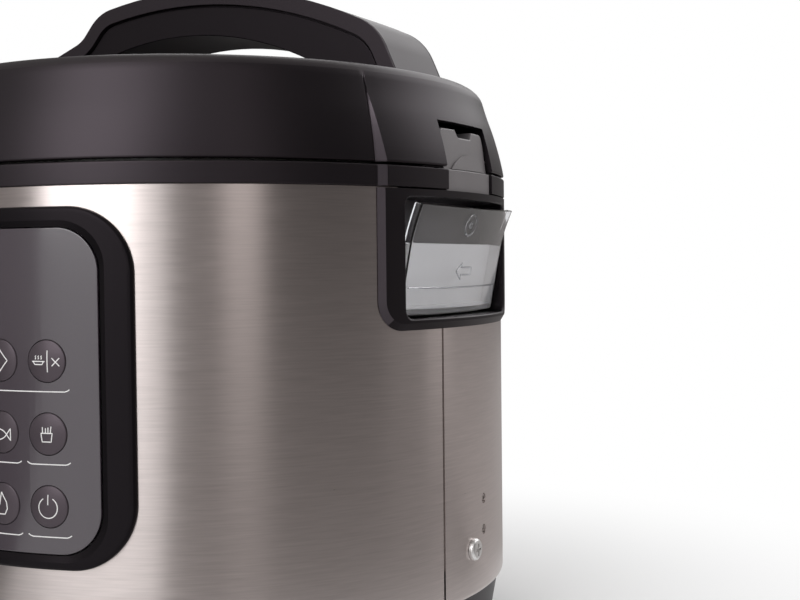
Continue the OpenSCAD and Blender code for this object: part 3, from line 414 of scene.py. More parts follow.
def finish(name, group, settings, bump, constants):
    """A material: a node group, a shallow bump and a Principled shader."""
    material = bpy.data.materials.new(name)
    material.use_nodes = True
    tree = material.node_tree
    shader = tree.nodes["Principled BSDF"]
    surface = tree.nodes.new("ShaderNodeGroup")
    surface.node_tree = group
    for label, value in settings.items():
        surface.inputs[label].default_value = value
    relief = tree.nodes.new("ShaderNodeBump")
    relief.inputs["Strength"].default_value = bump
    relief.inputs["Distance"].default_value = BUMP_DEPTH
    tree.links.new(surface.outputs["Color"], shader.inputs["Base Color"])
    tree.links.new(surface.outputs["Roughness"], shader.inputs["Roughness"])
    tree.links.new(surface.outputs["Height"], relief.inputs["Height"])
    tree.links.new(relief.outputs["Normal"], shader.inputs["Normal"])
    for label, value in constants.items():
        shader.inputs[label].default_value = value
    return material


def plastic(name, colour, roughness, bump=0.25, variation=0.25, patches=0.06, grain=GRAIN_SCALE,
            **constants):
    """Moulded plastic or rubber."""
    settings = {"Color": (*colour, 1), "Variation": variation, "Grain Scale": grain,
                "Roughness": roughness, "Patches": patches}
    return finish(name, GRAIN, settings, bump, {k.replace("_", " "): v for k, v in constants.items()})


def metal(name, colour, roughness, bump=0.15, variation=0.12, patches=0.12, along=25.0, across=1400.0,
          anisotropic=0.0):
    """Brushed, spun or cast metal."""
    settings = {"Color": (*colour, 1), "Variation": variation, "Along": along, "Across": across,
                "Roughness": roughness, "Patches": patches}
    constants = {"Metallic": 1.0, "Anisotropic": anisotropic, "Anisotropic Rotation": 0.25}
    return finish(name, BRUSH, settings, bump, constants)


PLUM = (1.0, 0.84, 0.95, 1)
BLACK = (0.003, 0.0025, 0.003)
lid_black = plastic("lid_black", BLACK, 0.4, Specular_IOR_Level=0.44, Specular_Tint=PLUM)
trim_black = plastic("trim_black", BLACK, 0.42, Specular_IOR_Level=0.35, Specular_Tint=PLUM)
arch_black = plastic("arch_black", BLACK, 0.45, Specular_IOR_Level=0.22, Specular_Tint=PLUM)
band_grey = plastic("band_grey", (0.004, 0.0034, 0.004), 0.42, Specular_IOR_Level=0.44, Specular_Tint=PLUM)
# Painted highlight: the sloped strips beside the wing, the band's pad and the bracket's face are the same
# black plastic as their neighbours, painted this lighter grey for the light they catch.
highlight_painted_grey = plastic("highlight_painted_grey", (0.042, 0.036, 0.041), 0.4, Specular_Tint=PLUM)
cap_grey = plastic("cap_grey", (0.018, 0.015, 0.017), 0.4, Specular_IOR_Level=0.28, Specular_Tint=PLUM)
frame_black = plastic("frame_black", (0.005, 0.0043, 0.005), 0.36, bump=0.1, Specular_IOR_Level=0.12,
                      Specular_Tint=PLUM)
face_smoke = plastic("face_smoke", (0.052, 0.040, 0.050), 0.3, bump=0.05, Coat_Weight=0.9,
                     Coat_Roughness=0.12)
button_smoke = plastic("button_smoke", (0.048, 0.039, 0.045), 0.36, bump=0.12, Specular_Tint=PLUM)
mark_white = plastic("mark_white", (0.80, 0.79, 0.78), 0.45, bump=0.05, variation=0.05)
rubber_black = plastic("rubber_black", (0.018, 0.018, 0.018), 0.75, bump=0.5, grain=1500.0)
silicone_white = plastic("silicone_white", (0.62, 0.61, 0.58), 0.5, Subsurface_Weight=0.15)
board_green = plastic("board_green", (0.02, 0.10, 0.045), 0.35, variation=0.5, grain=900.0)
valve_red = plastic("valve_red", (0.45, 0.03, 0.025), 0.38)
shell_steel = metal("shell_steel", (0.59, 0.53, 0.515), 0.31, bump=0.08, variation=0.3, along=60.0,
                    across=1500.0, anisotropic=0.75)
screw_zinc = metal("screw_zinc", (0.88, 0.87, 0.86), 0.42, bump=0.05)
plain_steel = metal("plain_steel", (0.62, 0.61, 0.60), 0.28)
pot_steel = metal("pot_steel", (0.66, 0.65, 0.64), 0.24, anisotropic=0.6, across=1800.0)
cast_aluminium = metal("cast_aluminium", (0.62, 0.62, 0.63), 0.48, along=500.0, across=500.0, bump=0.4)
pin_brass = metal("pin_brass", (0.68, 0.52, 0.24), 0.3)
heater_sheath = metal("heater_sheath", (0.13, 0.12, 0.115), 0.5, along=300.0, across=300.0)
cup_clear = plastic("cup_clear", (0.96, 0.965, 0.985), 0.04, bump=0.02, variation=0.02, patches=0.03,
                    Transmission_Weight=1.0, IOR=1.49)
# Painted reflection: the cup is clear plastic; its back, side walls and floor are painted a pale frosted
# white for the bright surroundings seen in them.
cup_pale_painted_reflection = plastic("cup_pale_painted_reflection", (0.93, 0.92, 0.92), 0.22, bump=0.1, variation=0.03, patches=0.05,
                    Transmission_Weight=0.08, IOR=1.49)
# Painted highlight: the hinge post is black plastic, painted mid grey for the bright light it reflects from
# the right.
post_painted_highlight_grey = plastic("post_painted_highlight_grey", (0.19, 0.175, 0.18), 0.42)
print("materials:", len(bpy.data.materials))

# %% [markdown]
# ## Brushed body
# The body is a steel sheet rolled into a drum. Its wall is turned with a rolled hem at the foot, and the
# openings for the panel, the recess, the inlet and the seam are cut with wrapped plates, as a press would
# cut them.

# %% Steel drum with its openings
HEM_W = 2.8
HEM_T = 1.5
drum = turned([(SHELL_R - 0.2, SHELL_Z0, 0.5), (SHELL_R, SHELL_Z0 + 1.2, 0.4), (SHELL_R, SHELL_Z1, 0.3),
               (SHELL_R - SHELL_T, SHELL_Z1, 0), (SHELL_R - SHELL_T, SHELL_Z0 + HEM_T, 0.3),
               (SHELL_R - HEM_W, SHELL_Z0 + HEM_T, 0), (SHELL_R - HEM_W, SHELL_Z0, 0)], steps=LATHE_STEPS)
shell = bare_object("steel_drum", drum)
SEAM_FACING = -9.6
CUT_DEPTH = 12.0
openings = {
    "panel": (rectangle(119, 65, 190, 19), PANEL_FACING, 24),
    "recess": (rectangle(98.5, 147.8, 210, 5), 0, 24),
    "inlet": (rectangle(42, 52, 76, 3), 90, 10),
    "seam": (rectangle(1.2, 20, 150, 0), SEAM_FACING, 2),
}
for corners, facing, strips in openings.values():
    carve(shell, wrapped(plate(corners, -CUT_DEPTH, CUT_DEPTH), SHELL_R, facing, strips))
holes = {"lower": (4.75, 56.5, 2.2), "upper": (4.75, 70.0, 2.2), "screw": (0, 50.0, 2.1)}
for facing, height, radius in holes.values():
    carve(shell, radial_rod(radius, 2 * CUT_DEPTH, SHELL_R, facing, height))
print("cut", len(openings), "openings and", len(holes), "holes")
finish_piece(shell, "base", [shell_steel], "steel_shell", "outer_shell")

# %% [markdown]
# ## Dark band
# Between steel and lid runs a dark plastic ring. Beside the hinge it swells into a pad that lines up with
# the lid's wing above and the bracket below. The ring is turned, and the pad is made by moving the points of
# its outer face, between two angles, out to the pad's radius.

# %% Band with its hinge pad
PAD_SLOPE = 1.6
BAND_IN = 106.4
SPIGOT_IN, SPIGOT_OUT, SPIGOT_Z0 = 136.2, 138.9, 195.0
STEP_R, STEP_Z = 134.8, 205.4
OUTER_SKIN = 139.5
POST_BACK, POST_AIR = 128.9, 0.5
BRACKET_ROOM, BRACKET_BACK = 61.5, 110.0
ABOVE_BAND = 220.0
PIN_ROOM = 6.9
CUT_REACH = 4.0


def pad_share(angle):
    """0 outside the pad, 1 on it, with a straight slope between."""
    return min(1.0, max(0.0, (WING_ANGLE - abs(angle)) / PAD_SLOPE))


def degrees_round(co):
    """Direction of a point round the upright axis, in degrees from +X."""
    return math.degrees(math.atan2(co.y, co.x))


def upright_cuts(bm, angles):
    """Cut a turned mesh along upright planes through the axis, on the hinge side."""
    for angle in angles:
        a = math.radians(angle)
        near = [f for f in bm.faces if abs(degrees_round(f.calc_center_median()) - angle) < CUT_REACH]
        geom = near + list({e for f in near for e in f.edges}) + list({v for f in near for v in f.verts})
        bmesh.ops.bisect_plane(bm, geom=geom, plane_co=(0, 0, 0), plane_no=(-math.sin(a), math.cos(a), 0),
                               dist=MERGE)
    return bm


WING_CUTS = [side * (WING_ANGLE - shift) for side in (-1, 1) for shift in (0, PAD_SLOPE)]
band = turned([(BAND_IN, SHELL_Z1, 0), (SPIGOT_IN, SHELL_Z1, 0), (SPIGOT_IN, SPIGOT_Z0, 0),
               (SPIGOT_OUT, SPIGOT_Z0, 0), (SPIGOT_OUT, SHELL_Z1, 0), (BAND_R, SHELL_Z1, 0.4),
               (BAND_R, BAND_Z1, 0.7), (STEP_R, BAND_Z1, 0.5), (STEP_R, STEP_Z, 0.4),
               (BAND_IN, STEP_Z, 0.3)], steps=LATHE_STEPS)
upright_cuts(band, WING_CUTS)
for vert in band.verts:
    flat = Vector((vert.co.x, vert.co.y, 0))
    share = pad_share(degrees_round(vert.co))
    if flat.length > OUTER_SKIN and share > 0:
        flat *= 1 + share * (PROUD_R - BAND_R) / flat.length
        vert.co.x = flat.x
        vert.co.y = flat.y
# The sloped strips of the pad get the second material, a painted highlight in lighter grey.
for f in band.faces:
    turn = abs(degrees_round(f.calc_center_median()))
    reach = math.hypot(*f.calc_center_median()[:2])
    f.material_index = int(WING_ANGLE - PAD_SLOPE < turn < WING_ANGLE and reach > OUTER_SKIN)
band_piece = bare_object("seam_band", band)
room_half = POST_HALF + POST_AIR
carve(band_piece, block((POST_BACK, -room_half, SHELL_Z1 - 1), (OUTSIDE, room_half, ABOVE_BAND)))
carve(band_piece, block((BRACKET_BACK, -BRACKET_ROOM, BELOW_LID), (OUTSIDE, BRACKET_ROOM, SHELL_Z1)))
carve(band_piece, rod(PIN_ROOM, CUTTER_LENGTH, HINGE, (0, 1, 0), 64))
finish_piece(band_piece, "base", [band_grey, highlight_painted_grey], "dark_grey_plastic", "upper_ring", sharp=20)

# %% [markdown]
# ## Lid
# The lid is a thick moulded cover with a dished top. It is turned from one section: a wall that leans in more
# and more towards the top, a tight corner, the rim and the dish, and the same line again inside. The wing
# over the hinge stands proud of the wall at the skirt and fades out upwards, so the wall's points are pushed
# out by an amount that falls with their height. A sloped strip closes each side of the wing, and a fine
# crease runs along the strip's foot up to the corner. The first cell holds the lid's lines as functions.

# %% Lines of the lid
WING_PROUD = 2.0
WING_RISE = 29.0
CREASE_W = 0.4
CREASE_DEPTH = 0.7
CREASE_TOP = 250.0
CREASE_FADE = 8.0


def wall_reach(z):
    """Radius of the lid's outer wall at a height, before its knee is rounded."""
    if z < KNEE_Z:
        return SHELL_R + (KNEE_R - SHELL_R) * (z - LID_Z0) / (KNEE_Z - LID_Z0)
    return KNEE_R + (CORNER_R - KNEE_R) * (z - KNEE_Z) / (CORNER_Z - KNEE_Z)


def wing_height(z):
    """How far the wing stands proud at a height."""
    return WING_PROUD * min(1.0, max(0.0, 1 - (z - LID_Z0) / WING_RISE))


def wing_strip(z):
    """Width in degrees of the sloped strip at a height."""
    return PAD_SLOPE * wing_height(z) / WING_PROUD


def near_to(value, target):
    """Are two directions the same, within a hundredth of a degree?"""
    return abs(value - target) < 0.01


def on_wall(co):
    """Is a point on the outer skin of the lid's wall?"""
    return co.z < CREASE_TOP and math.hypot(co.x, co.y) > wall_reach(co.z) - LID_T / 2


def lid_section(grown, foot_z):
    """Outer line of the lid, from its foot to its dish, moved out by grown."""
    return [(SHELL_R + grown, foot_z, 0.9), (KNEE_R + grown, KNEE_Z, 10),
            (CORNER_R + grown, CORNER_Z + grown, 5), (CROWN_R, RIM_Z - 0.1 + grown, 4),
            (RIM_R, RIM_Z + grown, 3.5), (DISH_R, DISH_Z + grown, 4)]


print("the wing stands", WING_PROUD, "mm proud and is", WING_RISE, "mm tall")

# %% [markdown]
# The lathe leaves an upright line just beside the crease, where two lines would make slivers, so that line
# is dissolved before the crease and the strip get their own cuts. Their points are then moved: the crease
# inwards, the strip on to its slope and the wing outwards.

# %% Turn the lid and raise its wing
HUB_HOLE_R = 12.0
LATHE_LINE = 24.0
dome = turned(lid_section(0, LID_Z0) + [(HUB_HOLE_R, DISH_Z, 0.6), (HUB_HOLE_R, DISH_Z - LID_T, 0)]
              + lid_section(-LID_T, LID_Z0)[::-1], steps=LATHE_STEPS)
sliced(dome, 2, LID_Z0, CORNER_Z, 13)
dissolved = [e for e in dome.edges if all(near_to(abs(degrees_round(v.co)), LATHE_LINE) for v in e.verts)]
bmesh.ops.dissolve_edges(dome, edges=dissolved, use_verts=True)
upright_cuts(dome, WING_CUTS + [side * (WING_ANGLE + CREASE_W) for side in (-1, 1)])
for vert in dome.verts:
    turn = abs(degrees_round(vert.co))
    if not on_wall(vert.co) or turn > WING_ANGLE + CREASE_W + 0.01:
        continue
    reach = math.hypot(vert.co.x, vert.co.y)
    height = wing_height(vert.co.z)
    if near_to(turn, WING_ANGLE + CREASE_W):
        height = 0.0
    elif near_to(turn, WING_ANGLE):
        height = -CREASE_DEPTH * min(1.0, (CREASE_TOP - vert.co.z) / CREASE_FADE)
    elif near_to(turn, WING_ANGLE - PAD_SLOPE):
        turn = WING_ANGLE - max(0.1, wing_strip(vert.co.z))
    a = math.copysign(math.radians(turn), vert.co.y)
    vert.co.x = (reach + height) * math.cos(a)
    vert.co.y = (reach + height) * math.sin(a)
# Faces of the wing's sloped strip get the second material, a painted highlight in lighter grey.
for f in dome.faces:
    middle = f.calc_center_median()
    in_strip = WING_ANGLE - wing_strip(middle.z) < abs(degrees_round(middle)) < WING_ANGLE
    f.material_index = int(in_strip and on_wall(middle))
lid = bare_object("lid_dome", dome)
print("lid turned with", len(lid.data.polygons), "faces")

# %% [markdown]
# Three cuts finish the lid. A slot leaves room for the hinge post to swing through, round above the pin and
# open below it. Two round holes in the dish let the steam valve and the float through.

# %% Slot and valve holes
SLOT_R = 14.8
VALVE_R = 62.0
VALVE_CUT = 30.0
carve(lid, rod(SLOT_R, 2 * SLOT_HALF, HINGE, (0, 1, 0), 96))
carve(lid, block((HINGE.x - SLOT_R, -SLOT_HALF, BELOW_LID), (170, SLOT_HALF, HINGE.z)))
valve_holes = {"steam": (100, 5.2), "float": (138, 3.2)}
for facing, radius in valve_holes.values():
    a = math.radians(facing)
    carve(lid, rod(radius, VALVE_CUT, (VALVE_R * math.cos(a), VALVE_R * math.sin(a), DISH_Z), (0, 0, 1)))
finish_piece(lid, "lid", [lid_black, highlight_painted_grey], "black_plastic", "lid_cover", sharp=14)

# %% [markdown]
# The lid hangs on two ears, one each side of the hinge post. They are short barrels on the pin, with a web up
# into the shoulder, and they show when the lid is open.

# %% Hinge ears
EAR_R, EAR_W, EAR_OFFSET = 5.0, 10.6, 5.7
WEB_X0, WEB_X1, WEB_HALF = 126.0, 133.5, 4.0
WEB_FOOT, WEB_TOP = 1.0, 11.0
EAR_REACH = 138.4
ears = []
for side in (-1, 1):
    middle = Vector((HINGE.x, side * (SLOT_HALF + EAR_OFFSET), HINGE.z))
    barrel = rod(EAR_R, EAR_W, middle, (0, 1, 0), 40)
    soften(barrel, [e for e in barrel.edges if abs(e.calc_face_angle(0) - math.pi / 2) < 0.2], 0.6)
    web = block((WEB_X0, middle.y - WEB_HALF, HINGE.z + WEB_FOOT),
                (WEB_X1, middle.y + WEB_HALF, HINGE.z + WEB_TOP))
    ears += [barrel, web]
ear_piece = bare_object("lid_ears", joined(*ears))
carve(ear_piece, rod(EAR_REACH, CUTTER_LENGTH, (0, 0, 215), (0, 0, 1), 180), "INTERSECT")
finish_piece(ear_piece, "lid", [lid_black], "black_plastic")

# %% [markdown]
# ## Arch handle
# The handle is a black arch with a grey cap along its back. Seen from the side its line is a few arcs: a long
# crown, a tight bend down to the hinge-side foot, and a saddle and a flatter tail at the other end. Each
# station below holds a distance, a height and a slope, and moving a station inwards along its own normal
# gives the line of the cap's underside.

# %% Side line of the handle
CROWN_Z = 299.5
FOOT_Z = 230.0
END_SLOPE = 66.0
CROWN_BEND = 230.0
TAIL_X = 98.0
LID_AIR = 0.6


def bend_on(path, radius, slope, steps):
    """Continue a path along an arc until it has the given slope; a hollow arc has a negative radius."""
    x0, z0, t0 = path[-1]
    for i in range(1, steps + 1):
        t = t0 + (slope - t0) * i / steps
        x = x0 + radius * (math.sin(math.radians(t)) - math.sin(math.radians(t0)))
        z = z0 - radius * (math.cos(math.radians(t0)) - math.cos(math.radians(t)))
        path.append((x, z, t))


def run_on(path, distance):
    """Continue a path straight for a distance along X."""
    x, z, t = path[-1]
    path.append((x + distance, z - distance * math.tan(math.radians(t)), t))


def to_foot(path):
    """Continue a path straight down to the level of the feet."""
    run_on(path, (path[-1][1] - FOOT_Z) / math.tan(math.radians(END_SLOPE)))


near_path = [(0, CROWN_Z, 0)]
bend_on(near_path, CROWN_BEND, slope=25.5, steps=12)
bend_on(near_path, radius=26, slope=END_SLOPE, steps=10)
to_foot(near_path)
far_path = [(0, CROWN_Z, 0)]
bend_on(far_path, CROWN_BEND, slope=10, steps=5)
bend_on(far_path, radius=22, slope=48, steps=9)
run_on(far_path, distance=3.5)
bend_on(far_path, radius=-16, slope=20, steps=8)
run_on(far_path, distance=TAIL_X - far_path[-1][0])
bend_on(far_path, radius=14, slope=END_SLOPE, steps=8)
to_foot(far_path)


def handle_line(sink):
    """The handle's line from far foot to near foot, moved inwards by sink."""
    def moved(path, side):
        return [(side * (x - sink * math.sin(math.radians(t))), z - sink * math.cos(math.radians(t)), 0)
                for x, z, t in path]
    return moved(far_path, -1)[::-1] + moved(near_path[1:], 1)


def across(corners, half):
    """A side outline pushed across the handle's width."""
    return plate(corners, -half, half)


def side_rims(bm, half):
    """The edges that run along either side of such a piece."""
    return [e for e in bm.edges if abs(abs(e.verts[0].co.y) - half) < CLOSE
            and abs(e.verts[0].co.y - e.verts[1].co.y) < CLOSE]


def lid_room():
    """The lid's own form with a little air, cut from the handle's feet."""
    return turned([(0, BELOW_LID, 0)] + lid_section(LID_AIR, BELOW_LID) + [(0, DISH_Z + LID_AIR, 0)],
                  steps=120)


print("handle stations:", len(near_path), "near and", len(far_path), "far")

# %% [markdown]
# The arch is the body of the handle. Its underside follows the fingers: a long arc over the gap, and two feet
# that come down round the bar. Its side edges are rounded, because a hand closes on them. A narrower spacer
# between arch and cap leaves the fine dark line where the two mouldings meet.

# %% Arch body
ARCH_HALF = 20.5
CAP_T = 7.0
LINE_W = 0.8
LINE_DEPTH = 1.3
SPACER_SINK = 0.5
GRIP_HALF = 84.0
GRIP_TOP = 279.0
BAR_TOP = 254.5
BAR_END = 92.4
FOOT_TUCK = 10.0
grip_radius = (GRIP_HALF ** 2 + (GRIP_TOP - RIM_Z) ** 2) / (2 * (GRIP_TOP - RIM_Z))
grip_path = [(0, GRIP_TOP, 0)]
bend_on(grip_path, grip_radius, math.degrees(math.asin(GRIP_HALF / grip_radius)), 14)
half_under = [(x, z, 0) for x, z, _ in grip_path]
half_under += [(GRIP_HALF - FOOT_TUCK, BAR_TOP, 0), (BAR_END, BAR_TOP, 0), (BAR_END, FOOT_Z, 0)]
under = half_under[:0:-1] + [(-x, z, 0) for x, z, _ in half_under]
arch_bm = across(handle_line(CAP_T + LINE_W) + under, ARCH_HALF)
soften(arch_bm, side_rims(arch_bm, ARCH_HALF), 0.8, 3)
arch = bare_object("handle_arch_body", arch_bm)
carve(arch, lid_room())
finish_piece(arch, "handle", [arch_black], "black_plastic", "handle_arch", sharp=30)
spacer_line = handle_line(CAP_T) + handle_line(CAP_T + LINE_W + SPACER_SINK)[::-1]
spacer = bare_object("handle_spacer", across(spacer_line, ARCH_HALF - LINE_DEPTH))
carve(spacer, lid_room())
finish_piece(spacer, "handle", [arch_black], "black_plastic", "handle_arch", sharp=30)

# %% [markdown]
# The cap is a grey shell over the arch's back. A fine groove runs along each side of its outer face. Three
# insets make it: a flat one leaves the edge, the second goes down and the third comes back up.

# %% Grey cap with its groove
CAP_HALF = 22.0
GROOVE_DEPTH = 1.1
GROOVE_STEPS = ((0.6, 0), (0.4, -GROOVE_DEPTH), (0.4, GROOVE_DEPTH))
cap_bm = across(handle_line(0) + handle_line(CAP_T)[::-1], CAP_HALF)
cap_bm.normal_update()


def on_line(co, line):
    """Is a point on a side line?"""
    return any(abs(co.x - x) + abs(co.z - z) < CLOSE for x, z, _ in line)


outer_line = handle_line(0)
back_faces = [f for f in cap_bm.faces
              if len(f.verts) == 4 and all(on_line(v.co, outer_line) for v in f.verts)]
for inwards, outwards in GROOVE_STEPS:
    bmesh.ops.inset_region(cap_bm, faces=back_faces, thickness=inwards, depth=outwards,
                           use_even_offset=True, use_boundary=True)
soften(cap_bm, side_rims(cap_bm, CAP_HALF), 0.35, 2)
cap = bare_object("handle_cap_shell", cap_bm)
carve(cap, lid_room())
finish_piece(cap, "handle", [cap_grey], "grey_plastic", "handle_cap", sharp=30)

# %% [markdown]
# ## Bracket, recess and hinge post
# On the hinge side a black moulding frames a recess for the cup and carries the hinge post. Its face is a
# plate with broad sloped edges: the front of a flat plate is inset and lifted, once for a slope and several
# times for a rounded edge. The plate is then wrapped on the body, and its window is cut with a flared cutter
# that leaves a sloped edge.


# %% Raised plates, flared windows and the bracket's face
def front_of(bm, front):
    """The face of a plate that looks out at a depth."""
    bm.normal_update()
    return [f for f in bm.faces if f.normal.y > 0.99 and f.calc_center_median().y > front - CLOSE]


def raised(corners, back, front, *steps):
    """A plate whose front is inset and lifted in steps; each step is (inwards, outwards)."""
    bm = plate(corners, back, front)
    face = front_of(bm, front)
    for inwards, outwards in steps:
        bmesh.ops.inset_region(bm, faces=face, thickness=inwards, depth=outwards, use_even_offset=True)
    return bm


def flared(corners, back, waist, front, grow):
    """A cutter that is straight up to its waist and then widens towards its front."""
    bm = plate(corners, back, waist)
    face = front_of(bm, waist)
    grown = bmesh.ops.extrude_face_region(bm, geom=face)
    bmesh.ops.delete(bm, geom=face, context="FACES_ONLY")
    wide = max(x for x, _, _ in corners)
    tall = (max(z for _, z, _ in corners) - min(z for _, z, _ in corners)) / 2
    middle = min(z for _, z, _ in corners) + tall
    for vert in new_verts(grown):
        vert.co.x *= 1 + grow / wide
        vert.co.z = middle + (vert.co.z - middle) * (1 + grow / tall)
        vert.co.y = front
    bmesh.ops.recalc_face_normals(bm, faces=bm.faces)
    return bm


BRACKET_Z0 = 146.0
BRACKET_W = 119.4
BRACKET_GAP = 0.6
SLOPE = (2.8, 1.7)
PLATE_AIR = 0.05
bracket_bm = raised(rectangle(BRACKET_W, BRACKET_Z0, SHELL_Z1 + 20, 12), PLATE_AIR, 0.3, SLOPE)
trimmed(bracket_bm, SHELL_Z1 - BRACKET_GAP, keep_below=True)
bracket_bm.normal_update()
# Faces that slope sideways get the second material, a painted highlight in lighter grey.
for f in bracket_bm.faces:
    f.material_index = int(0.3 < abs(f.normal.x) < 0.9)
bracket = bare_object("bracket_face", wrapped(bracket_bm, SHELL_R, 0, 40))
window = flared(rectangle(93.6, RECESS_Z0, RECESS_Z1, 4), back=-9, waist=1.5, front=3.5, grow=2)
carve(bracket, wrapped(window, SHELL_R, 0, 40))
finish_piece(bracket, "base", [trim_black, highlight_painted_grey], "black_plastic", "hinge_bracket", sharp=16)

# %% [markdown]
# The recess is a tub behind the bracket's face. It starts as a block, its front is inset and pushed in to
# make the cavity, and its front rim is then moved on to the body's curve.

# %% Recess tub
TUB_WALL = 2.0
TUB_HALF = RECESS_HALF + TUB_WALL
TUB_RIM_R = SHELL_R + 1.2
tub = block((RECESS_BACK - TUB_WALL, -TUB_HALF, RECESS_Z0 - TUB_WALL),
            (OUTSIDE, TUB_HALF, RECESS_Z1 + TUB_WALL))
tub.normal_update()
front_face = [f for f in tub.faces if f.normal.x > 0.9]
bmesh.ops.inset_region(tub, faces=front_face, thickness=TUB_WALL, depth=0, use_even_offset=True)
cavity = bmesh.ops.extrude_face_region(tub, geom=front_face)
bmesh.ops.delete(tub, geom=front_face, context="FACES_ONLY")
bmesh.ops.translate(tub, verts=new_verts(cavity), vec=(RECESS_BACK - OUTSIDE, 0, 0))
corners = [e for e in tub.edges if abs(e.verts[0].co.x - e.verts[1].co.x) > 20
           and abs(abs(e.verts[0].co.y) - RECESS_HALF) < CLOSE]
soften(tub, corners, 4, 5)
sliced(tub, 1, -TUB_HALF, TUB_HALF, 24)
for vert in tub.verts:
    if vert.co.x > OUTSIDE - 1:
        vert.co.x = math.sqrt(TUB_RIM_R ** 2 - vert.co.y ** 2)
finish_piece(bare_object("recess_tub", tub), "base", [trim_black], "black_plastic", "hinge_bracket")

# %% [markdown]
# The hinge post stands in the slot of the lid. Its foot is flush with the band, and its upper part lies a
# little deeper and leans in with the lid's wall, with a notch in its top edge and a shallow half disc over
# the pin.

# %% Hinge post
POST_R = 139.4
POST_TOP = 228.8
POST_LEAN = 2.4
POST_DEPTH = 9.5
POST_Z0 = 199.4
UPPER_Z0 = 210.5
NOTCH_Z = 225.6
NOTCH_HALF, NOTCH_MOUTH = 6.0, 8.0
upper = [(-POST_HALF, UPPER_Z0, 0), (POST_HALF, UPPER_Z0, 0), (POST_HALF, POST_TOP, 2.5),
         (NOTCH_MOUTH, POST_TOP, 0.6), (NOTCH_HALF, NOTCH_Z, 0.6), (-NOTCH_HALF, NOTCH_Z, 0.6),
         (-NOTCH_MOUTH, POST_TOP, 0.6), (-POST_HALF, POST_TOP, 2.5)]
upper_bm = plate(upper, -POST_DEPTH, 0)
front_rim = edges_where(upper_bm, lambda co: abs(co.y) < CLOSE and co.z > UPPER_Z0 + 0.5)
soften(upper_bm, front_rim, 0.6, 2)
lower_bm = plate(rectangle(2 * POST_HALF, POST_Z0, BAND_Z1, 0), -POST_DEPTH, BAND_R - POST_R)
front_rim = edges_where(lower_bm, lambda co: abs(co.y - BAND_R + POST_R) < CLOSE)
soften(lower_bm, front_rim, 0.4, 2)
DISC_R = 22.0
DISC_TOP = 218.2
DISC_T = 1.6
disc = rod(DISC_R, DISC_T, (0, 0, DISC_TOP - DISC_R), (0, 1, 0), 96)
trimmed(disc, BAND_Z1 + 0.3, keep_below=False)
soften(disc, edges_where(disc, lambda co: abs(co.y - DISC_T / 2) < CLOSE), 0.3, 2)
for vert in upper_bm.verts[:] + disc.verts[:]:
    vert.co.y -= POST_LEAN * max(0.0, vert.co.z - BAND_Z1) / (POST_TOP - BAND_Z1)
post_bm = joined(upper_bm, lower_bm, disc)
# The post is painted mid grey, a painted highlight on black plastic.
finish_piece(bare_object("hinge_post", wrapped(post_bm, POST_R, 0, 16)), "base", [post_painted_highlight_grey],
             "black_plastic", "hinge_bracket", sharp=20)

# %% [markdown]
# ## Condensate cup
# The cup is clear plastic. It starts as a block: the top is inset and pushed down for the cavity, and then
# the front wall, with a short return at each side, is pulled up into the tall face.

# %% Straight cup with its cavity and tall face
CUP_HALF = 43.5
CUP_BACK, CUP_FRONT = 123.7, 133.7
CUP_Z0, CUP_Z1, CUP_Z2 = 152.0, 181.0, 198.0
CUP_WALL, CUP_FLOOR = 1.4, 2.6
CUP_RETURN = 4.2
cup = block((CUP_BACK, -CUP_HALF, CUP_Z0), (CUP_FRONT, CUP_HALF, CUP_Z1))
cup.normal_update()
top = [f for f in cup.faces if f.normal.z > 0.9]
bmesh.ops.inset_region(cup, faces=top, thickness=CUP_WALL, depth=0, use_even_offset=True)
cavity = bmesh.ops.extrude_face_region(cup, geom=top)
bmesh.ops.delete(cup, geom=top, context="FACES_ONLY")
bmesh.ops.translate(cup, verts=new_verts(cavity), vec=(0, 0, CUP_Z0 + CUP_FLOOR - CUP_Z1))
bmesh.ops.bisect_plane(cup, geom=all_of(cup), plane_co=(CUP_FRONT - CUP_RETURN, 0, 0),
                       plane_no=(1, 0, 0), dist=MERGE)
cup.normal_update()
rim = [f for f in cup.faces if f.normal.z > 0.9 and f.calc_center_median().z > CUP_Z1 - 0.1
       and f.calc_center_median().x > CUP_FRONT - CUP_RETURN]
lifted = bmesh.ops.extrude_face_region(cup, geom=rim)
bmesh.ops.delete(cup, geom=rim, context="FACES_ONLY")
bmesh.ops.translate(cup, verts=new_verts(lifted), vec=(0, 0, CUP_Z2 - CUP_Z1))
bmesh.ops.recalc_face_normals(cup, faces=cup.faces)
print("cup wall", CUP_WALL, "mm, face", CUP_Z2 - CUP_Z0, "mm tall")

# %% [markdown]
# A moulded cup has no sharp edge, so its front corners, its foot and its lips are each found by their place
# and rounded.


# %% Rounded edges of the cup
def on_front_corner(co):
    """Is a point on one of the cup's two upright front edges?"""
    return abs(abs(co.y) - CUP_HALF) < CLOSE and abs(co.x - CUP_FRONT) < CLOSE


def rise(edge):
    """How far an edge climbs."""
    return abs(edge.verts[0].co.z - edge.verts[1].co.z)


SHARP_TURN = 1.2
uprights = [e for e in edges_where(cup, on_front_corner) if rise(e) > 10]
soften(cup, uprights, 1.2, 3)
foot_rim = [e for e in edges_where(cup, lambda co: abs(co.z - CUP_Z0) < CLOSE) if len(e.link_faces) == 2]
soften(cup, foot_rim, 2.2, 4)
lips = [e for e in edges_where(cup, lambda co: co.z > CUP_Z1 - 0.1)
        if rise(e) < CLOSE and len(e.link_faces) == 2 and e.calc_face_angle(0) > SHARP_TURN]
soften(cup, lips, 0.35, 2)
print("cup rounded to", len(cup.faces), "faces")

# %% [markdown]
# The real cup is bowed along its front, and its tall face opens outwards towards the lip. Both are put in by
# moving points, so the cup is first sliced into strips that can bend. Walls and floor away from the front get
# a pale frosted white, a painted reflection of the bright surroundings, and two studs at the sides are what
# it turns on.

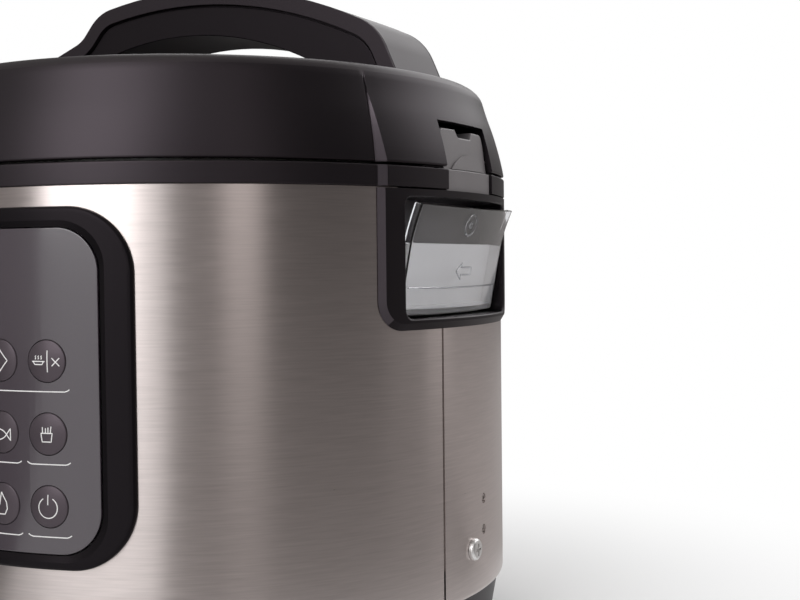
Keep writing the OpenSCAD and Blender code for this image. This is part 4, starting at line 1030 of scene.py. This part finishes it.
# %% Bend the cup
CUP_BULGE = 3.0
CUP_FLARE = 2.5
CUP_SPREAD = 0.5
CUP_CURL = 1.5
CUP_PIVOT = Vector((128.0, 0.0, 161.0))
STUD_R, STUD_LENGTH, STUD_OFFSET = 2.0, 4.4, 1.8
sliced(cup, 1, -CUP_HALF, CUP_HALF, 28)
sliced(cup, 2, CUP_Z1, CUP_Z2, 6)


def cup_bow(co):
    """The curve of the cup's front, seen from above."""
    forward = min(1.0, max(0.0, (co.x - CUP_BACK) / (CUP_FRONT - CUP_BACK - CUP_WALL)))
    return CUP_BULGE * (co.y / CUP_HALF) ** 2 * forward


def cup_opening(z):
    """How far the tall face has opened outwards: 0 at its foot, 1 at its lip."""
    return max(0.0, (z - CUP_Z1) / (CUP_Z2 - CUP_Z1)) ** CUP_CURL


for vert in cup.verts:
    vert.co.x -= cup_bow(vert.co)
# Walls and floor away from the front get the pale frosted white, a painted reflection.
for f in cup.faces:
    middle = f.calc_center_median()
    in_front = middle.x + cup_bow(Vector((CUP_FRONT, middle.y, 0))) > CUP_FRONT - CUP_WALL - 0.1
    f.material_index = int(middle.z < CUP_Z1 and not in_front)
for vert in cup.verts:
    vert.co.x += CUP_FLARE * cup_opening(vert.co.z)
    vert.co.y *= 1 + CUP_SPREAD / CUP_HALF * cup_opening(vert.co.z)
stud_reach = CUP_HALF + STUD_OFFSET
studs = [rod(STUD_R, STUD_LENGTH, (CUP_PIVOT.x, side * stud_reach, CUP_PIVOT.z), (0, 1, 0), 32)
         for side in (-1, 1)]
print("lip opens", CUP_FLARE, "mm outwards")

# %% [markdown]
# Strokes, for moulded marks here and for printed signs later, are drawn as a curve with a bevel, made into a
# mesh and flattened. Extra points along each stroke let it follow a curved face.


# %% Strokes
def circle_points(x, y, radius, start=0, end=360, count=20):
    """Points along an arc for a stroke."""
    turns = [math.radians(start + (end - start) * i / count) for i in range(count + 1)]
    return [(x + radius * math.cos(t), y + radius * math.sin(t)) for t in turns]


def shifted(strokes, dx, dy, scale=1.0):
    """Strokes moved and scaled."""
    return [[(x * scale + dx, y * scale + dy) for x, y in points] for points in strokes]


def finer(points, step):
    """A stroke with extra points, so that it can follow a curved face."""
    fine = [points[0]]
    for (x0, y0), (x1, y1) in zip(points, points[1:]):
        parts = max(1, math.ceil(math.hypot(x1 - x0, y1 - y0) / step))
        fine += [(x0 + (x1 - x0) * i / parts, y0 + (y1 - y0) * i / parts) for i in range(1, parts + 1)]
    return fine


def strokes_mesh(strokes, width, height, step=0.6):
    """Flat ribbons along strokes in the XY plane, in millimetres."""
    curve = bpy.data.curves.new("strokes", "CURVE")
    curve.dimensions = "3D"
    curve.bevel_depth = width / 2
    curve.bevel_resolution = 2
    curve.use_fill_caps = True
    for points in (finer(stroke, step) for stroke in strokes):
        spline = curve.splines.new("POLY")
        spline.points.add(len(points) - 1)
        for point, (x, y) in zip(spline.points, points):
            point.co = (x, y, 0, 1)
    holder = bpy.data.objects.new("strokes", curve)
    scene.collection.objects.link(holder)
    bpy.context.view_layer.update()
    evaluated = holder.evaluated_get(bpy.context.evaluated_depsgraph_get())
    mesh = bpy.data.meshes.new_from_object(evaluated)
    bm = bmesh.new()
    bm.from_mesh(mesh)
    bmesh.ops.scale(bm, vec=(1, 1, height / width), verts=bm.verts)
    bpy.data.objects.remove(holder)
    bpy.data.curves.remove(curve)
    bpy.data.meshes.remove(mesh)
    return bm


print("stroke tools ready")

# %% [markdown]
# Three moulded marks stand on the cup's face: a round boss near the top, an arrow that shows which way it
# swings, and a level line. They are laid on the bent face, and the whole cup is then tipped out on its studs,
# as it is when it is taken out.

# %% Marks on the cup, and its tilt
CUP_TILT = math.radians(11)
BOSS_DROP = 7.5
ARROW_X, ARROW_DROP = 3, 20
LEVEL_INSET, LEVEL_DROP = 3, 27
arrow = [[(-8, 0), (-3.5, 3.6), (-3.5, 1.6), (6, 1.6), (6, -1.6), (-3.5, -1.6), (-3.5, -3.6), (-8, 0)]]
level = [[(LEVEL_INSET - CUP_HALF, -LEVEL_DROP), (CUP_HALF - LEVEL_INSET, -LEVEL_DROP)]]
marks = strokes_mesh(shifted(arrow, ARROW_X, -ARROW_DROP) + level, width=0.7, height=0.7, step=2.0)
boss = strokes_mesh([circle_points(0, 0, 4.6), circle_points(0, 0, 1.2, count=10)], width=0.9, height=0.8)
for sheet_bm in (marks, boss):
    for vert in sheet_bm.verts:
        y, up, out = vert.co
        z = CUP_Z2 - BOSS_DROP + up
        vert.co = (CUP_FRONT - CUP_BULGE * (y / CUP_HALF) ** 2 + CUP_FLARE * cup_opening(z) + out, y, z)
cup_whole = joined(cup, *studs, marks, boss)
tip = Matrix.Rotation(CUP_TILT, 3, "Y")
bmesh.ops.rotate(cup_whole, verts=cup_whole.verts, cent=CUP_PIVOT, matrix=tip)
finish_piece(bare_object("clear_cup", cup_whole), "cup", [cup_clear, cup_pale_painted_reflection], "clear_plastic",
             "condensate_cup", sharp=28)

# %% [markdown]
# ## Control panel
# The panel is a black frame round a smoked face. The frame is made like the bracket, with a rounded outer
# edge and a bevel that runs down to the face.

# %% Panel frame
RIM_ROUND = ((0.3, 0.7), (0.7, 0.45), (1.2, 0.15))
frame_bm = raised(rectangle(131, 59.8, 195.2, 25), PLATE_AIR, 1.1, *RIM_ROUND)
frame_piece = bare_object("panel_rim", wrapped(frame_bm, SHELL_R, PANEL_FACING, 36))
window = flared(rectangle(105.6, 65.1, 187.7, 16.8), back=-9, waist=0.9, front=2.9, grow=3)
carve(frame_piece, wrapped(window, SHELL_R, PANEL_FACING, 36))
finish_piece(frame_piece, "base", [frame_black], "frame_gloss", "panel_frame", sharp=24)

# %% [markdown]
# The face is a wrapped plate with twelve round holes. The keys stand in three rows of four, at one pitch
# along the body's wall.

# %% Panel face with its key holes
FACE_R = 141.0
KEY_ROWS = (137.8, 110.6, 83.4)
KEY_COLUMNS = (1, 2, 3, 4)
MIDDLE_COLUMN = 2.5
KEY_PITCH = 20.8
BUTTON_R = 7.95
HOLE_AIR = 0.2
face_bm = plate(rectangle(104.8, 65.5, 187.3, 16.4), back=-1.8, front=0)
soften(face_bm, edges_where(face_bm, lambda co: abs(co.y) < CLOSE), 0.4, 2)
face = bare_object("panel_glass", wrapped(face_bm, FACE_R, PANEL_FACING, 36))
key_turn = math.degrees(KEY_PITCH / SHELL_R)
button_places = {}
for row, height in enumerate(KEY_ROWS, 1):
    for column in KEY_COLUMNS:
        facing = PANEL_FACING + (column - MIDDLE_COLUMN) * key_turn
        button_places[f"button_r{row}c{column}"] = (facing, height)
for facing, height in button_places.values():
    carve(face, radial_rod(BUTTON_R + HOLE_AIR, CUT_DEPTH, FACE_R, facing, height))
finish_piece(face, "base", [face_smoke], "panel_gloss", "panel_face", sharp=24)

# %% [markdown]
# ## Buttons and their signs
# Every button carries a sign, a plain picture of a kitchen thing, drawn with the same strokes as the cup's
# marks. A sign is a list of strokes, in millimetres from the button's middle.

# %% Signs for the buttons
steam = [[(x, 0.4), (x + 0.3, 0.8), (x, 1.2), (x + 0.3, 1.6)] for x in (-1.2, -0.1, 1.0)]
dish = [[(-2.4, -0.3), (2.4, -0.3)], [(-2, -0.3), (-1.4, -1.3), (1.4, -1.3), (2, -0.3)]]
cross = [[(-1.1, -1.1), (1.1, 1.1)], [(-1.1, 1.1), (1.1, -1.1)]]
signs = {
    "button_r1c1": [circle_points(0, 0, 3.2), [(0, 2), (0, 0), (1.5, -0.8)]],
    "button_r1c2": [circle_points(0, -2.2, 1.2), [(-0.6, -1.2), (-0.6, 3), (0.6, 3), (0.6, -1.2)],
                    [(1.4, 2.2), (2.3, 2.2)], [(1.4, 0.8), (2.3, 0.8)]],
    "button_r1c3": [[(0, 3.4), (3, 0), (0, -3.4), (-3, 0), (0, 3.4)]],
    "button_r1c4": (shifted(steam + dish, -2.2, 0.2, 0.85) + [[(0.6, 3), (0.6, -3)]]
                    + shifted(cross, 3.1, -0.2)),
    "button_r2c1": shifted(dish, 0, 0, 1.4) + shifted(steam, 0, 0.6, 1.1),
    "button_r2c2": [[(-2.6, 1), (-2.6, -2.4), (2.6, -2.4), (2.6, 1)], [(-3.3, 1), (3.3, 1)],
                    [(-0.6, 1.8), (0.6, 1.8)]],
    "button_r2c3": [circle_points(-0.6, -2.6, 3.6, 35, 135, 12), circle_points(-0.6, 1.6, 3.6, 225, 325, 12),
                    [(2.3, -0.5), (3.6, 1.2), (3.6, -2.2), (2.3, -0.5)]],
    "button_r2c4": [[(-1.75, 0.3), (-1.4, -2.1), (1.4, -2.1), (1.75, 0.3), (-1.75, 0.3)],
                    [(-1.2, 0.3), (-1.3, 2)], [(-0.3, 0.3), (-0.3, 1.7)], [(0.5, 0.3), (0.5, 1.9)],
                    [(1.2, 0.3), (1.4, 2.2)]],
    "button_r3c1": [[(-2.8, -2.6), (-2.8, 0), (2.8, 0), (2.8, -2.6), (-2.8, -2.6)], [(0, 0), (0, 2)],
                    circle_points(0, 2.6, 0.5, count=8)],
    "button_r3c2": [circle_points(1.4, -1.2, 4, 95, 175, 10), circle_points(-1.8, 2, 4, -85, -5, 10),
                    [(-2.6, -2.2), (1, 1.4)]],
    "button_r3c3": [[(0, 3.4), (1.9, 0.6), (2.1, -1.2), (1.2, -2.8), (-1.2, -2.8), (-2.1, -1.2), (-1.4, 0.8),
                     (-0.5, -0.2), (0, 3.4)]],
    "button_r3c4": [circle_points(0, -0.2, 2.9, 120, 420, 24), [(0, 0.6), (0, 3.4)]],
}
print("signs drawn:", len(signs))

# %% [markdown]
# Each button is a shallow dome on a flanged stem, turned in its own upright frame. Its sign is dropped on to
# the dome by a ray for every point, and the two are then stood out of the panel together.


# %% Turn the buttons and stand them in the panel
def standing(facing, height):
    """Turns a mesh made with its top along +Z so that it looks out of the panel at a height."""
    a = math.radians(facing)
    tangent, up, out = (-math.sin(a), math.cos(a), 0), (0, 0, 1), (math.cos(a), math.sin(a), 0)
    turn = Matrix((tangent, up, out)).transposed().to_4x4()
    return Matrix.Translation((0, 0, height)) @ turn


SIGN_WIDTH, SIGN_HEIGHT = 0.42, 0.16
SIGN_SCALE = 1.35
STEM_R, STEM_FOOT = 2.0, 130.0
FLANGE_R = BUTTON_R + 0.8
FLANGE_Z0, FLANGE_Z1 = 137.0, 138.0
DOME = 1.0
DOME_R = 4.6
down = Vector((0, 0, -1))
for name, (facing, height) in button_places.items():
    button = turned([(0, STEM_FOOT, 0), (STEM_R, STEM_FOOT, 0), (STEM_R, FLANGE_Z0, 0),
                     (FLANGE_R, FLANGE_Z0, 0), (FLANGE_R, FLANGE_Z1, 0), (BUTTON_R, FLANGE_Z1, 0),
                     (BUTTON_R, FACE_R + 0.1, 0.45), (DOME_R, FACE_R + DOME, 3.2),
                     (0, FACE_R + DOME, 0)], steps=48)
    surface = BVHTree.FromBMesh(button)
    sign = strokes_mesh(shifted(signs[name], 0, 0, SIGN_SCALE), SIGN_WIDTH, SIGN_HEIGHT)
    for vert in sign.verts:
        hit = surface.ray_cast(Vector((vert.co.x, vert.co.y, OUTSIDE)), down)[0]
        vert.co.z += hit.z
    for f in sign.faces:
        f.material_index = 1
    whole = joined(button, sign)
    bmesh.ops.transform(whole, matrix=standing(facing, height), verts=whole.verts)
    finish_piece(bare_object(f"{name}_key", whole), name, [button_smoke, mark_white], "button_plastic", name,
                 sharp=30)

# %% [markdown]
# A printed line runs under each button, with both ends turned up. In the top row two neighbours join into one
# longer line. They are strokes again, rolled on to the face.

# %% Printed lines on the face
RULE_TIP = ((9.2, 0.9), (8.3, 0.3), (7.2, 0))
RULE_DROP = 11.4
RULE_JOIN = 11
rules = []
for row, height in enumerate(KEY_ROWS, 1):
    for column in KEY_COLUMNS:
        middle = (column - MIDDLE_COLUMN) * KEY_PITCH * FACE_R / SHELL_R
        low = height - RULE_DROP
        left = [(middle - along, low + up) for along, up in RULE_TIP]
        right = [(middle + along, low + up) for along, up in reversed(RULE_TIP)]
        if row == 1 and column in (1, 3):
            right = [(middle + RULE_JOIN, low)]
        if row == 1 and column in (2, 4):
            left = [(middle - RULE_JOIN, low)]
        rules.append(left + right)
lines = strokes_mesh(rules, SIGN_WIDTH, height=0.12, step=1.5)
for vert in lines.verts:
    x, up, out = vert.co
    angle = math.radians(PANEL_FACING) + x / FACE_R
    vert.co = ((FACE_R + out) * math.cos(angle), (FACE_R + out) * math.sin(angle), up)
finish_piece(bare_object("panel_lines", lines), "base", [mark_white], "panel_gloss")

# %% [markdown]
# ## Finishes for the CAD pieces that stay
# The other solids already have their right shape. Each takes the finish of its material slot in the record,
# and the bright screw beside the seam gets a finish of its own.

# %% Dress the remaining CAD nodes
finish_of = {
    "black_plastic": trim_black, "dark_grey_plastic": band_grey, "grey_plastic": cap_grey,
    "steel_shell": shell_steel, "steel": plain_steel, "pot_steel": pot_steel, "aluminium": cast_aluminium,
    "rubber": rubber_black, "silicone": silicone_white, "clear_plastic": cup_clear, "panel_gloss": face_smoke,
    "frame_gloss": frame_black, "button_plastic": button_smoke, "circuit_board": board_green,
    "brass": pin_brass, "red_plastic": valve_red, "heater_tube": heater_sheath,
}
slot_of = {entry["node"]: entry["material_slot"] for entry in frame["record"]["subparts"]}
for node, thing in nodes.items():
    thing.data.materials.clear()
    thing.data.materials.append(finish_of[slot_of.get(node, "black_plastic")])
nodes["shell_screw"].data.materials[0] = screw_zinc
print("dressed", len(slot_of), "nodes by slot")

# %% [markdown]
# ## Studio
# A pale floor lies under the cooker. It takes the cooker's shadow close by, and fades to plain white further
# out, where the camera, a reflection or clear plastic meets it. Light that bounces off it sees its paint.


# %% Floor
def background_rays(tree):
    """1 for rays of the camera, of reflections and through clear plastic, 0 for light that bounces."""
    rays = tree.nodes.new("ShaderNodeLightPath")
    seen = math_node(tree, "MAXIMUM", rays.outputs["Is Camera Ray"], rays.outputs["Is Glossy Ray"])
    return math_node(tree, "MAXIMUM", seen, rays.outputs["Is Transmission Ray"])


FLOOR_HALF = 4000.0
FADE_FROM, FADE_TO = 0.1, 0.42
floor_bm = bmesh.new()
bmesh.ops.create_grid(floor_bm, x_segments=8, y_segments=8, size=FLOOR_HALF)
floor = bare_object("pale_floor", floor_bm)
floor_paint = bpy.data.materials.new("pale_floor_paint")
floor_paint.use_nodes = True
floor_tree = floor_paint.node_tree
floor_shader = floor_tree.nodes["Principled BSDF"]
floor_shader.inputs["Base Color"].default_value = (0.85, 0.85, 0.85, 1)
floor_shader.inputs["Roughness"].default_value = 0.9
floor_shader.inputs["Specular IOR Level"].default_value = 0.0
floor_glow = floor_tree.nodes.new("ShaderNodeEmission")
floor_mix = floor_tree.nodes.new("ShaderNodeMixShader")
floor_place = floor_tree.nodes.new("ShaderNodeTexCoord")
floor_far = floor_tree.nodes.new("ShaderNodeVectorMath")
floor_far.operation = "LENGTH"
floor_fade = floor_tree.nodes.new("ShaderNodeMapRange")
floor_fade.interpolation_type = "SMOOTHSTEP"
floor_fade.inputs["From Min"].default_value = FADE_FROM
floor_fade.inputs["From Max"].default_value = FADE_TO
floor_tree.links.new(floor_place.outputs["Object"], floor_far.inputs[0])
floor_tree.links.new(floor_far.outputs["Value"], floor_fade.inputs["Value"])
floor_white = math_node(floor_tree, "MULTIPLY", floor_fade.outputs["Result"], background_rays(floor_tree))
floor_tree.links.new(floor_white, floor_mix.inputs["Fac"])
floor_tree.links.new(floor_shader.outputs[0], floor_mix.inputs[1])
floor_tree.links.new(floor_glow.outputs[0], floor_mix.inputs[2])
floor_tree.links.new(floor_mix.outputs[0], floor_tree.nodes["Material Output"].inputs["Surface"])
floor.data.materials.append(floor_paint)
print("floor fades to white from", FADE_FROM, "to", FADE_TO, "m")

# %% [markdown]
# The world is white to the camera, to reflections and to clear plastic, and dimmer as a light.

# %% World
AMBIENT = 0.5
world = bpy.data.worlds.new("studio_world")
scene.world = world
world.use_nodes = True
world_tree = world.node_tree
backdrop = world_tree.nodes["Background"]
strength = math_node(world_tree, "MAXIMUM", background_rays(world_tree), AMBIENT)
world_tree.links.new(strength, backdrop.inputs["Strength"])
backdrop.inputs["Color"].default_value = (1, 1, 1, 1)
world.cycles.sampling_method = "NONE"
print("world lights at", AMBIENT)

# %% [markdown]
# A large soft lamp stands to the left of the camera. A wide one stands high, behind the cooker's right side,
# and a weak one further behind.

# %% Lamps
LAMP_AIM = Vector((0, 0, 0.14))


def soft_lamp(name, azimuth, elevation, distance, width, height, power):
    """A rectangular lamp that looks at the cooker's middle."""
    data = bpy.data.lights.new(name, "AREA")
    data.shape = "RECTANGLE"
    data.size = width
    data.size_y = height
    data.energy = power
    lamp = bpy.data.objects.new(name, data)
    a, e = math.radians(azimuth), math.radians(elevation)
    away = Vector((math.cos(e) * math.cos(a), math.cos(e) * math.sin(a), math.sin(e)))
    lamp.location = away * distance + LAMP_AIM
    lamp.rotation_euler = away.to_track_quat("Z", "Y").to_euler()
    scene.collection.objects.link(lamp)
    return lamp


soft_lamp("left_softbox", azimuth=-92, elevation=26, distance=1.5, width=0.9, height=1.2, power=10)
soft_lamp("right_softbox", azimuth=66, elevation=36, distance=1.4, width=1.5, height=0.8, power=7.5)
soft_lamp("back_lamp", azimuth=120, elevation=35, distance=1.6, width=0.8, height=0.8, power=3)
print("lamps:", len(bpy.data.lights))

# %% [markdown]
# A photographer draws the form of polished metal with cards. Grey and dark ones stand in a ring round the
# front, the right and the back, hang above, and lie on the floor. They show in reflections only, apart from
# one on the floor at the right, which also shows through the clear cup and keeps its upper face dark.


# %% Cards for reflections
def card_paint(name, glow):
    """Paint of a card: a set grey that needs no light of its own."""
    paint = bpy.data.materials.new(name)
    paint.use_nodes = True
    shader = paint.node_tree.nodes["Principled BSDF"]
    shader.inputs["Base Color"].default_value = (0, 0, 0, 1)
    shader.inputs["Roughness"].default_value = 1.0
    shader.inputs["Specular IOR Level"].default_value = 0.0
    shader.inputs["Emission Color"].default_value = (1.0, 0.95, 0.93, 1)
    shader.inputs["Emission Strength"].default_value = glow
    return paint


def card(name, start, end, near, far, low, high, glow, through=False):
    """A line from (near, low) to (far, high), swept round the axis; through lets clear plastic show it."""
    bm = bmesh.new()
    a = math.radians(start)
    foot = bm.verts.new((near * math.cos(a), near * math.sin(a), low))
    head = bm.verts.new((far * math.cos(a), far * math.sin(a), high))
    edge = bm.edges.new((foot, head))
    bmesh.ops.spin(bm, geom=[foot, head, edge], cent=(0, 0, 0), axis=(0, 0, 1), dvec=(0, 0, 0),
                   angle=math.radians(end - start), steps=24, use_merge=False, use_duplicate=False)
    sheet = bare_object(name, bm)
    sheet.data.materials.append(card_paint(name, glow))
    sheet.visible_camera = False
    sheet.visible_diffuse = False
    sheet.visible_transmission = through
    sheet.visible_shadow = False
    return sheet


CARD_R = 2200.0
CARD_TOP = 3000.0
CARD_STEP = 300.0
CARD_IN = 220.0
walls = [("front", -66, -47, 0, CARD_TOP, 0.19), ("strip", -47, -34, 0, CARD_STEP, 0.35),
         ("strip_top", -47, -34, CARD_STEP, CARD_TOP, 1.3), ("right", -34, 12, 0, CARD_TOP, 0.06),
         ("side", 12, 32, 0, CARD_TOP, 0.22), ("glow", 32, 44, 0, CARD_STEP, 0.8),
         ("glow_top", 32, 44, CARD_STEP, CARD_TOP, 0.22),
         ("far", 44, 150, 0, CARD_TOP, 0.22), ("back", 150, 250, 0, CARD_TOP, 0.3)]
for name, start, end, low, high, glow in walls:
    card(f"card_{name}", start, end, CARD_R, CARD_R, low, high, glow)
ceilings = [("ceiling", -66, 30, 0.22), ("ceiling_right", 30, 170, 0.5), ("ceiling_back", 170, 215, 0.5),
            ("ceiling_left", 215, 294, 1.3)]
for name, start, end, glow in ceilings:
    card(f"card_{name}", start, end, 1, CARD_R, CARD_TOP, CARD_TOP, glow)
floors = [("floor", -66, 38, 0.26, False), ("floor_right", 38, 120, 0.45, True),
          ("floor_back", 120, 250, 0.08, False)]
for name, start, end, glow, through in floors:
    card(f"card_{name}", start, end, CARD_IN, CARD_R, 1, 1, glow, through)
print("cards:", len(walls) + len(ceilings) + len(floors))

# %% [markdown]
# ## Camera
# The camera was worked out from the photograph: how the body's straight sides and round rims fall on the
# picture fixes where it stood. It stands a little more than half a metre from the axis, at the height of the
# upper body, and looks past the cooker's right side.

# %% Camera
camera_data = bpy.data.cameras.new("camera")
camera_data.sensor_width = 36.0
camera_data.lens = 54.67
camera = bpy.data.objects.new("camera", camera_data)
scene.collection.objects.link(camera)
AZIMUTH, YAW, PITCH, ROLL = (math.radians(d) for d in (38.0, 8.917, -1.634, -0.603))
DISTANCE, EYE_Z = 0.593, 0.172
right_way = Vector((math.cos(AZIMUTH), math.sin(AZIMUTH), 0))
away_way = Vector((-math.sin(AZIMUTH), math.cos(AZIMUTH), 0))
up_way = Vector((0, 0, 1))
look = right_way * math.sin(YAW) + away_way * math.cos(YAW)
side = right_way * math.cos(YAW) - away_way * math.sin(YAW)
forward = look * math.cos(PITCH) + up_way * math.sin(PITCH)
above = -look * math.sin(PITCH) + up_way * math.cos(PITCH)
x_axis = side * math.cos(ROLL) + above * math.sin(ROLL)
y_axis = -side * math.sin(ROLL) + above * math.cos(ROLL)
turn = Matrix((x_axis, y_axis, -forward)).transposed().to_4x4()
camera.matrix_world = Matrix.Translation(-away_way * DISTANCE + up_way * EYE_Z) @ turn
scene.camera = camera
print("camera at", [round(v, 3) for v in camera.matrix_world.translation])
